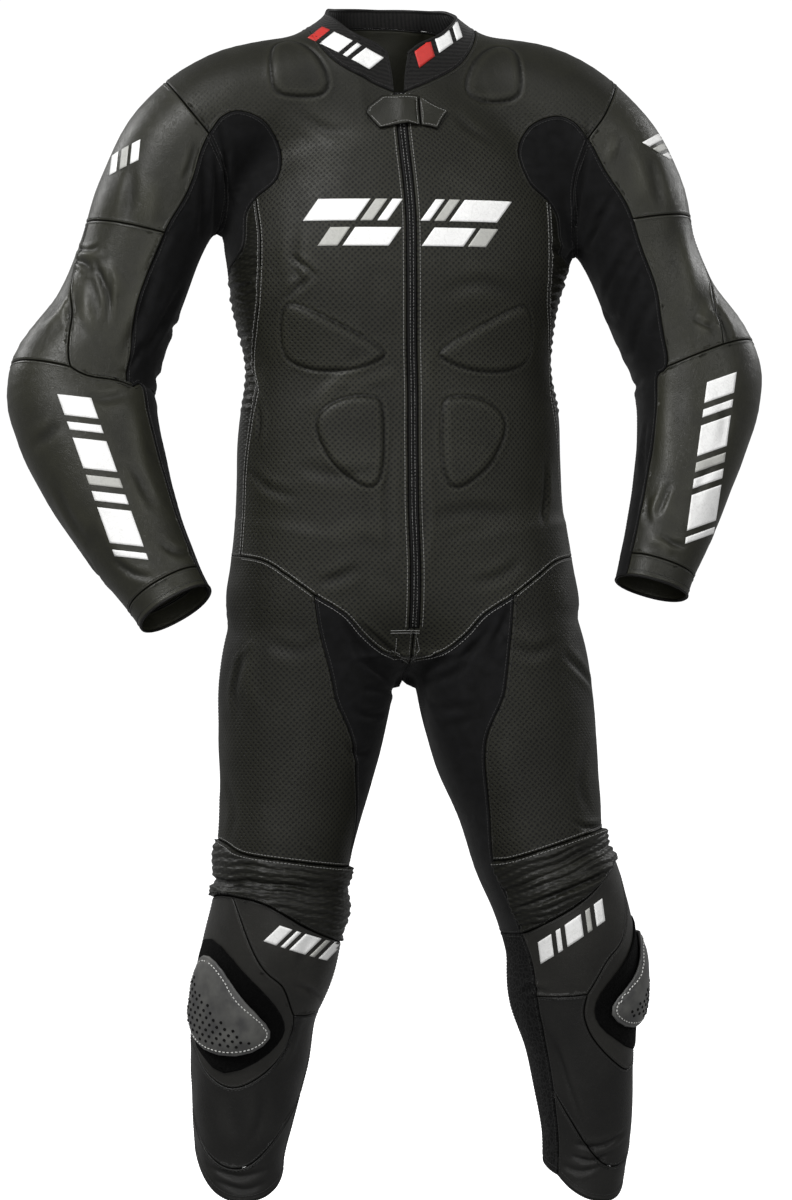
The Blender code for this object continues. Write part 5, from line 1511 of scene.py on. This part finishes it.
# Finish, thickness in millimetres, material slot, and the pieces made so. The rest is plain leather.
CLOTH = {piece: tuple(row) for *row, pieces in (
    ("perforated", 1.5, "perforated_leather", "front"),
    ("thigh leather", 1.5, "perforated_leather", "thigh_front"),
    ("ribbed", 1.5, "ribbed_stretch_leather", "side knee_pleats"),
    ("stretch", 1.2, "stretch_cloth", "underarm inner_sleeve inner_thigh"),
    ("comb", 1.2, "stretch_cloth", "calf_stretch"),
    ("knit", 1.8, "collar_cloth", "collar"),
    ("tape", 1.2, "zip_tape", "zip_tape"),
    ("fuzz", 1.6, "hook_tape", "knee_hook_tape"),
    ("plastic", 5.0, "knee_slider", "knee_slider"),
    ("limb leather", 1.5, "leather", "upper_sleeve mid_sleeve elbow forearm cuff"),
    ("knee leather", 1.5, "leather", "knee_inner knee_cup"),
    ("shin leather", 1.5, "leather", "shin ankle calf_back"),
) for piece in pieces.split()}
PLAIN = ("leather", 1.5, "leather")
FIXED = "zip_slider"  # hard, so it stays the solid itself


def base_name(node):
    return node.replace("_left", "").replace("_right", "")


def make_cloth():
    for node in sorted(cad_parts):
        if node != FIXED:
            look, thickness, slot = CLOTH.get(base_name(node), PLAIN)
            cloth_piece(node, "cloth_" + node, thickness, LOOKS[look], slot)


# --- Sewing, zip and trim --------------------------------------------------------------------------


class Skin:
    """The outer faces of some finished pieces, to lay sewing and trim on. In metres."""

    def __init__(self, nodes):
        points, faces = [], []
        for node in nodes:
            mesh = bpy.data.objects["cloth_" + node].data
            base = len(points)
            points += [v.co for v in mesh.vertices]
            faces += [[base + k for k in face.vertices] for face in mesh.polygons]
        self.tree = BVHTree.FromPolygons(points, faces)

    def onto(self, points, way, above=14.0, below=20.0):
        """Points in millimetres dropped onto the faces from above, and those that found one."""
        laid, kept = np.array(points), np.zeros(len(points), bool)
        for k, (p, n) in enumerate(zip(points, way)):
            start = Vector((p + n * above) * MM)
            hit = self.tree.ray_cast(start, Vector(-n), (above + below) * MM)[0]
            if hit is not None:
                laid[k], kept[k] = np.array(hit) / MM, True
        return laid, kept


def stitch_ends(line, offset, stitch, skin, above=14.0):
    """Both ends of each stitch in a row beside a line."""
    pitch, length, radius = stitch
    line = even(line, pitch)
    way, n = unit(np.gradient(line, axis=0)), normals(line)
    middle = line + offset * unit(np.cross(n, way))
    ends = np.stack([middle - way * length / 2, middle + way * length / 2], axis=1)[1:-1]
    if not len(ends):
        return ends
    n = np.repeat(n[1:-1], 2, axis=0)
    laid, kept = skin.onto(ends.reshape(-1, 3), n, above)
    laid = (laid + n * 0.6 * radius).reshape(-1, 2, 3)
    kept = kept.reshape(-1, 2).all(1) & (np.linalg.norm(laid[:, 0] - laid[:, 1], axis=1) < 1.6 * length)
    return laid[kept]


def strands(name, routes, radius, look, closed=False, sides=0):
    """A round thread or cord along each route, as one piece."""
    curve = bpy.data.curves.new(name, "CURVE")
    curve.dimensions = "3D"
    curve.bevel_depth = radius * MM
    curve.bevel_resolution = sides
    for route in routes:
        spline = curve.splines.new("POLY")
        spline.points.add(len(route) - 1)
        spline.points.foreach_set("co", np.c_[np.asarray(route) * MM, np.ones(len(route))].ravel())
        spline.use_cyclic_u = closed
    guide = bpy.data.objects.new(name + "_guide", curve)
    bpy.context.scene.collection.objects.link(guide)
    bpy.context.view_layer.update()
    mesh = bpy.data.meshes.new_from_object(guide)
    bpy.data.objects.remove(guide)
    mesh.name = name
    mesh.materials.clear()
    mesh.materials.append(look)
    mesh.shade_smooth()
    obj = bpy.data.objects.new(name, mesh)
    bpy.context.scene.collection.objects.link(obj)
    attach(obj, "root")
    return obj


SIDES = ((-1, "left"), (1, "right"))
Stitch = namedtuple("Stitch", "pitch length radius")
FINE = Stitch(4.2, 2.9, 0.36)
TAB_STITCH = Stitch(3.4, 2.3, 0.34)
SLIDER_STITCH = Stitch(4.4, 2.7, 0.5)
TAB_INSET, SLIDER_INSET, STUDS_INSET = 3.4, 7.0, 14.0  # how far inside the outline
LIGHT_SEAMS = {
    ("lobe_foot", "hip_front"), ("hip_front", "thigh_corner"), ("thigh_corner", "crotch_front"),
    ("pleat_outer", "pleat_inner"), ("zip_end", "crotch_front"), ("neck_front", "zip_foot"),
}
NO_STITCHES = {
    ("neck_front", "collar_front"), ("collar_front", "collar_nape"), ("zip_end", "zip_foot"),
    ("hip_front", "hip_back"), ("cuff_front", "cuff_end_front"), ("cuff_back", "cuff_end_back"),
}
ON_PANELS = (*TAB_OUTLINES, *KNEE_OUTLINES)
FROM_SEAM, FROM_ZIP, FROM_HEM = 3.2, 4.0, 7.0  # how far rows of stitches keep


def sew_seams(skin):
    """A row of stitches on each side of every seam, and one inside each hem."""
    rows = {"light": [], "dark": []}
    for (start, end, side), line in SEAM_LINES.items():
        if (start, end) in NO_STITCHES:
            continue
        shade = "light" if (start, end) in LIGHT_SEAMS else "dark"
        offset = FROM_SEAM
        if (start, end) == ("neck_front", "zip_foot"):
            offset = FROM_ZIP * side
        if "hem" in start and "hem" in end or "cuff_end" in start:
            offset = FROM_HEM
        for far in (offset, -offset):
            rows[shade].extend(stitch_ends(line, far, FINE, skin))
    return rows


def ring_of(outline, side, inwards):
    """The outline's smooth ring on the form, moved inwards, closed."""
    ring = settled(smooth_loop(np.array(find([(*place, side) for place in outline])), 8))
    middle = ring.mean(0)
    ring = settled(ring - unit(ring - middle) * inwards)
    return np.vstack([ring, ring[:1]])


def sew_patches():
    """Stitches along the tab's two halves and inside the knee sliders' rims."""
    rows = {"light": [], "dark": []}
    for name, outline in TAB_OUTLINES.items():
        skin = Skin([name])
        ring = np.array(find([(*place, 1) for place in outline]))
        edges = zip(ring, np.roll(ring, -1, axis=0))
        ring = np.vstack([even(np.vstack(edge), 3.0)[:-1] for edge in edges])
        middle = ring.mean(0)
        ring = ring - unit(ring - middle) * TAB_INSET
        rows["dark"].extend(stitch_ends(ring, 0.0, TAB_STITCH, skin))
    for side, label in SIDES:
        skin = Skin(["knee_slider_" + label])
        ring = ring_of(KNEE_OUTLINES["knee_slider"], side, SLIDER_INSET)
        rows["light"].extend(stitch_ends(ring, 0.0, SLIDER_STITCH, skin, 30.0))
    return rows


def zip_line():
    """The zip's middle, from its top to its foot."""
    sides = [SEAM_LINES["neck_front", "zip_foot", side] for side in (-1, 1)]
    marks = np.linspace(0, 1, 240)
    halves = [
        np.stack([np.interp(marks, np.linspace(0, 1, len(s)), s[:, k]) for k in range(3)], axis=1)
        for s in sides
    ]
    return settled((halves[0] + halves[1]) / 2, 3)


TOOTH = Vector((2.9, 0.95, 1.3))  # across, along and out
TOOTH_PITCH = 1.9
TOOTH_LIFT, TOOTH_SHIFT = 0.35, 0.9  # outwards, and to the two sides in turn


def zip_teeth(skin):
    line = even(zip_line(), TOOTH_PITCH)
    way, n = unit(np.gradient(line, axis=0)), normals(line)
    laid, _ = skin.onto(line, n)
    across = np.cross(way, n)
    bm = bmesh.new()
    for k in range(2, len(line) - 2):
        turn = 1 if k % 2 else -1
        made = bmesh.ops.create_cube(bm, size=1.0)["verts"]
        axes = np.column_stack([across[k] * TOOTH.x, way[k] * TOOTH.y, n[k] * TOOTH.z])
        place = Matrix(axes).to_4x4()
        place.translation = laid[k] + TOOTH_LIFT * n[k] + TOOTH_SHIFT * turn * across[k]
        bmesh.ops.transform(bm, matrix=place, verts=made)
    bmesh.ops.scale(bm, vec=(MM,) * 3, verts=bm.verts[:])
    obj = piece_of(bm, "zip_teeth", LOOKS["metal"])
    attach(obj, "root")


STUD_PITCH, STUD_ROW = 7.6, 6.6


def grip_studs():
    """The small round studs in the sliding corner of each knee slider."""
    for side, label in SIDES:
        node = "knee_slider_" + label
        skin = Skin([node])
        ring = ring_of(KNEE_OUTLINES["knee_slider"], side, STUDS_INSET)[:-1]
        chart = CHARTS[side]["leg"]
        flat = unwrapped(chart.uv(ring), chart.radius)
        low = flat.min(0)
        grid = np.array([
            (low[0] + STUD_PITCH * (i + 0.5 * (j % 2)), low[1] + STUD_ROW * j)
            for i in range(20) for j in range(20)
        ])
        middle = flat.mean(0)
        # The studs fill the outer lower part, past a slanting line.
        past = (grid[:, 0] - middle[0]) * 0.75 + (grid[:, 1] - middle[1]) > -2
        grid = grid[within(grid, flat) & past]
        points = chart.point(grid)
        n = normals(points)
        laid, kept = skin.onto(points, n, 25.0)
        bm = bmesh.new()
        for p, q in zip(laid[kept], n[kept]):
            made = bmesh.ops.create_cone(
                bm, cap_ends=True, segments=8, radius1=2.3, radius2=1.7, depth=1.5)["verts"]
            place = Vector(q).to_track_quat("Z", "Y").to_matrix().to_4x4()
            place.translation = p
            bmesh.ops.transform(bm, matrix=place, verts=made)
        bmesh.ops.scale(bm, vec=(MM,) * 3, verts=bm.verts[:])
        obj = piece_of(bm, "grip_studs_" + label, LOOKS["grip"])
        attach(obj, "root")


def between(start, end, side):
    """The seam line from one spot to another, in that order."""
    if (start, end, side) in SEAM_LINES:
        return SEAM_LINES[start, end, side]
    if (end, start, side) in SEAM_LINES:
        return SEAM_LINES[end, start, side][::-1]
    return straight_seam((*SPOT_PLACES[name], side) for name in (start, end))


BINDING_STEP = 4.0
# The rolled edges: the corners that each runs through, how far it lies inwards, and its radius.
EDGES = (
    ("cuff", ("cuff_end_front", "cuff_end_back", "cuff_inner"), 0.8, 1.5),
    ("leg", ("hem_outer", "hem_inner", "hem_back"), 0.8, 1.2),
)


def bindings():
    """The bound edge of the collar, and the rolled edges of cuffs and legs."""
    right = SEAM_LINES["collar_front", "collar_nape", 1]
    left = SEAM_LINES["collar_front", "collar_nape", -1]
    top = even(np.vstack([right, left[::-1][1:]]), BINDING_STEP)
    top = top - 0.9 * normals(top)
    strands("collar_binding", [top], 1.9, LOOKS["binding"], sides=3)
    for side, label in SIDES:
        for name, corners, inwards, radius in EDGES:
            corners = zip(corners, corners[1:] + corners[:1])
            loop = np.vstack([between(a, b, side)[:-1] for a, b in corners])
            loop = even(np.vstack([loop, loop[:1]]), BINDING_STEP)[:-1]
            loop = loop - inwards * normals(loop)
            strands(name + "_edge_" + label, [loop], radius, LOOKS["binding"], True, 2)


# A printed bar: where it is, its finish, and its four corners as X and Z, seen from the front.
Bar = namedtuple("Bar", "place look corners")


def slanted(place, start, end, width, lean, pattern):
    """A row of slanted bars between two points. pattern has each bar's colour and share of the way."""
    start, end = np.array(start, float), np.array(end, float)
    way = end - start
    across = np.array([-way[1], way[0]]) / np.hypot(*way)
    for look, low, high in pattern:
        a, b = start + way * low, start + way * high
        tilt = lean * way / np.hypot(*way)
        half = across * width / 2
        yield Bar(place, look, (a - half - tilt, b - half - tilt, b + half + tilt, a + half + tilt))


W, G, R = "white", "grey", "red"
FOREARM_BARS = ((W, 0.0, 0.13), (W, 0.17, 0.22), (W, 0.27, 0.46), (G, 0.50, 0.56), (W, 0.60, 0.66),
                (W, 0.70, 0.92), (W, 0.96, 1.0))
KNEE_BARS = ((W, 0.0, 0.2), (W, 0.27, 0.34), (W, 0.41, 0.66), (G, 0.73, 0.8), (W, 0.87, 1.0))
BARS = [bar for row in (
    ("chest", (-112, -204), (-12, -204), 26, 9, ((W, 0.0, 0.62), (G, 0.68, 0.82), (W, 0.88, 1.0))),
    ("chest", (-96, -236), (-12, -236), 22, 7.5, ((G, 0.0, 0.28), (W, 0.35, 1.0))),
    ("chest", (27, -204), (118, -204), 26, 9, ((W, 0.0, 0.12), (G, 0.18, 0.32), (W, 0.38, 1.0))),
    ("chest", (27, -236), (103, -236), 22, 7.5, ((W, 0.0, 0.65), (G, 0.72, 1.0))),
    ("arm_left", (-352, -146), (-316, -130), 22, 6, ((W, 0.0, 0.24), (G, 0.36, 0.6), (W, 0.72, 1.0))),
    ("arm_right", (296, -108), (330, -126), 22, 6, ((W, 0.0, 0.26), (G, 0.38, 0.62), (W, 0.74, 1.0))),
    ("forearm_left", (-392, -424), (-322, -616), 36, 9, FOREARM_BARS),
    ("forearm_right", (380, -398), (352, -592), 34, -9, FOREARM_BARS),
    ("knee_left", (-158, -1060), (-84, -1086), 24, 6, KNEE_BARS),
    ("knee_right", (160, -1086), (236, -1034), 24, 6, KNEE_BARS),
    ("collar_left", (-108, 14), (-34, -26), 21, 4, (
        (R, 0.0, 0.13), (W, 0.2, 0.5), (W, 0.57, 0.64), (W, 0.71, 1.0))),
    ("collar_right", (14, -20), (66, 22), 19, 4, ((R, 0.0, 0.36), (W, 0.46, 0.78), (W, 0.87, 1.0))),
) for bar in slanted(*row)]
PRINT_STEP = 3.0
PRINT_LIFT, PRINT_WALL = 0.0006, 0.0007  # metres
TURNED_AWAY = -0.12  # a print ends where the leather's normal has more +Y than this


def ahead(x, z, skin):
    """The point and normal of the finished front at X and Z, in metres."""
    return skin.tree.ray_cast(Vector((x * MM, -FAR * MM, z * MM)), Vector((0, 1, 0)))[:2]


def prints(skin):
    """The printed bars, pressed onto the leather."""
    for place in dict.fromkeys(bar.place for bar in BARS):
        bm = bmesh.new()
        looks = []
        for bar in [bar for bar in BARS if bar.place == place]:
            if bar.look not in looks:
                looks.append(bar.look)
            a, b, c, d = (np.array(corner) for corner in bar.corners)
            long, wide = (max(2, math.ceil(np.hypot(*v) / PRINT_STEP)) for v in (b - a, d - a))
            made = bmesh.ops.create_grid(bm, x_segments=long, y_segments=wide, size=0.5)["verts"]
            for face in {face for v in made for face in v.link_faces}:
                face.material_index = looks.index(bar.look)
            lost = []
            for v in made:
                s, t = v.co.x + 0.5, v.co.y + 0.5
                x, z = (a + (b - a) * s) * (1 - t) + (d + (c - d) * s) * t
                hit, n = ahead(x, z, skin)
                if hit is None or n.y > TURNED_AWAY:
                    lost.append(v)
                else:
                    v.co = hit + n * PRINT_LIFT
            bmesh.ops.delete(bm, geom=lost, context="VERTS")
        bm.normal_update()
        for face in [f for f in bm.faces if f.normal.y > 0]:
            face.normal_flip()
        obj = piece_of(bm, "print_" + place, LOOKS[looks[0]])
        for look in looks[1:]:
            obj.data.materials.append(LOOKS[look])
        wall = obj.modifiers.new("wall", "SOLIDIFY")
        wall.thickness = PRINT_WALL
        wall.offset = -1.0
        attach(obj, "root")


# Extra rows of light stitches on the front: pitch, length and the places passed.
EXTRA_ROWS = (
    (1.6, 1.5, ((-18, -702), (18, -702))),
    (1.6, 1.5, ((-18, -705), (18, -705))),
    (3.4, 2.4, ((-10, -709), (-12, -727), (4, -741))),
    (3.4, 2.4, ((14, -709), (17, -725), (6, -740))),
    (5.5, 1.6, ((-10, -62), (10, -62))),
)


def make_extras():
    nodes = [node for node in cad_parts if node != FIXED]
    panels = Skin([node for node in nodes if base_name(node) not in ON_PANELS])
    whole = Skin(nodes)
    rows = sew_seams(panels)
    extra = sew_patches()
    for pitch, length, places in EXTRA_ROWS:
        route = np.array([np.array(ahead(x, z, whole)[0]) / MM for x, z in places])
        line = even(route, 2.0)
        rows["light"].extend(stitch_ends(line, 0.0, Stitch(pitch, length, FINE.radius), whole))
    strands("stitches_light", rows["light"], FINE.radius, LOOKS["light thread"])
    strands("stitches_dark", rows["dark"], FINE.radius, LOOKS["dark thread"])
    strands("slider_stitches", extra["light"], 0.8, LOOKS["white thread"])
    strands("tab_stitches", extra["dark"], TAB_STITCH.radius, LOOKS["light thread"])
    zip_teeth(panels)
    grip_studs()
    bindings()
    prints(whole)
    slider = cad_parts[FIXED]
    slider.data.materials.clear()
    slider.data.materials.append(LOOKS["metal"])


# --- Studio ----------------------------------------------------------------------------------------

WORLD_LIGHT = 0.32  # how strongly the white surroundings light the suit
CAMERA_FAR = 5.5
VIEW_HEIGHT = 1.452  # what the picture's height covers at the suit
SENSOR = 24


def studio():
    data = bpy.data.cameras.new("camera")
    camera = bpy.data.objects.new("camera", data)
    bpy.context.scene.collection.objects.link(camera)
    data.sensor_fit = "VERTICAL"
    data.sensor_height = SENSOR
    data.lens = SENSOR * CAMERA_FAR / VIEW_HEIGHT
    camera.location = (-0.0109, -CAMERA_FAR, -0.6655)
    camera.rotation_euler = (math.radians(90), 0, 0)
    bpy.context.scene.camera = camera

    bm = bmesh.new()
    bmesh.ops.create_grid(bm, x_segments=1, y_segments=1, size=30)
    bmesh.ops.translate(bm, vec=(0, 0, -1.47), verts=bm.verts[:])
    white = finish("studio floor", paper, Emission_Color=(1, 1, 1, 1), Emission_Strength=1.0)
    floor = piece_of(bm, "floor", white)
    floor.visible_diffuse = False
    floor.visible_glossy = False

    for name, size, power, place in (
        ("key", 1.3, 128, (-1.9, -2.7, 2.0)),
        ("fill", 1.8, 35, (2.4, -3.0, 1.3)),
        ("front", 2.2, 36, (0.1, -4.4, -0.9)),
        ("rim left", 1.0, 26, (-2.4, 1.6, 1.1)),
        ("rim right", 1.0, 26, (2.4, 1.8, 0.9)),
    ):
        light = bpy.data.lights.new(name, "AREA")
        light.size = size
        light.energy = power
        lamp = bpy.data.objects.new(name, light)
        lamp.location = place
        aim = Vector((0, 0, -0.35)) - Vector(place)
        lamp.rotation_euler = aim.to_track_quat("-Z", "Y").to_euler()
        bpy.context.scene.collection.objects.link(lamp)
    world = bpy.data.worlds.new("studio")
    world.use_nodes = True
    g = Graph(world.node_tree)
    seen = g.add("ShaderNodeLightPath").outputs["Is Camera Ray"]
    backdrop = world.node_tree.nodes["Background"]
    g.put(backdrop.inputs["Color"], (1, 1, 1, 1))
    g.put(backdrop.inputs["Strength"], g.remap(seen, 0, 1, WORLD_LIGHT, 1.05))
    bpy.context.scene.world = world
    bpy.context.scene.view_settings.view_transform = "Standard"


make_cloth()
make_extras()
studio()
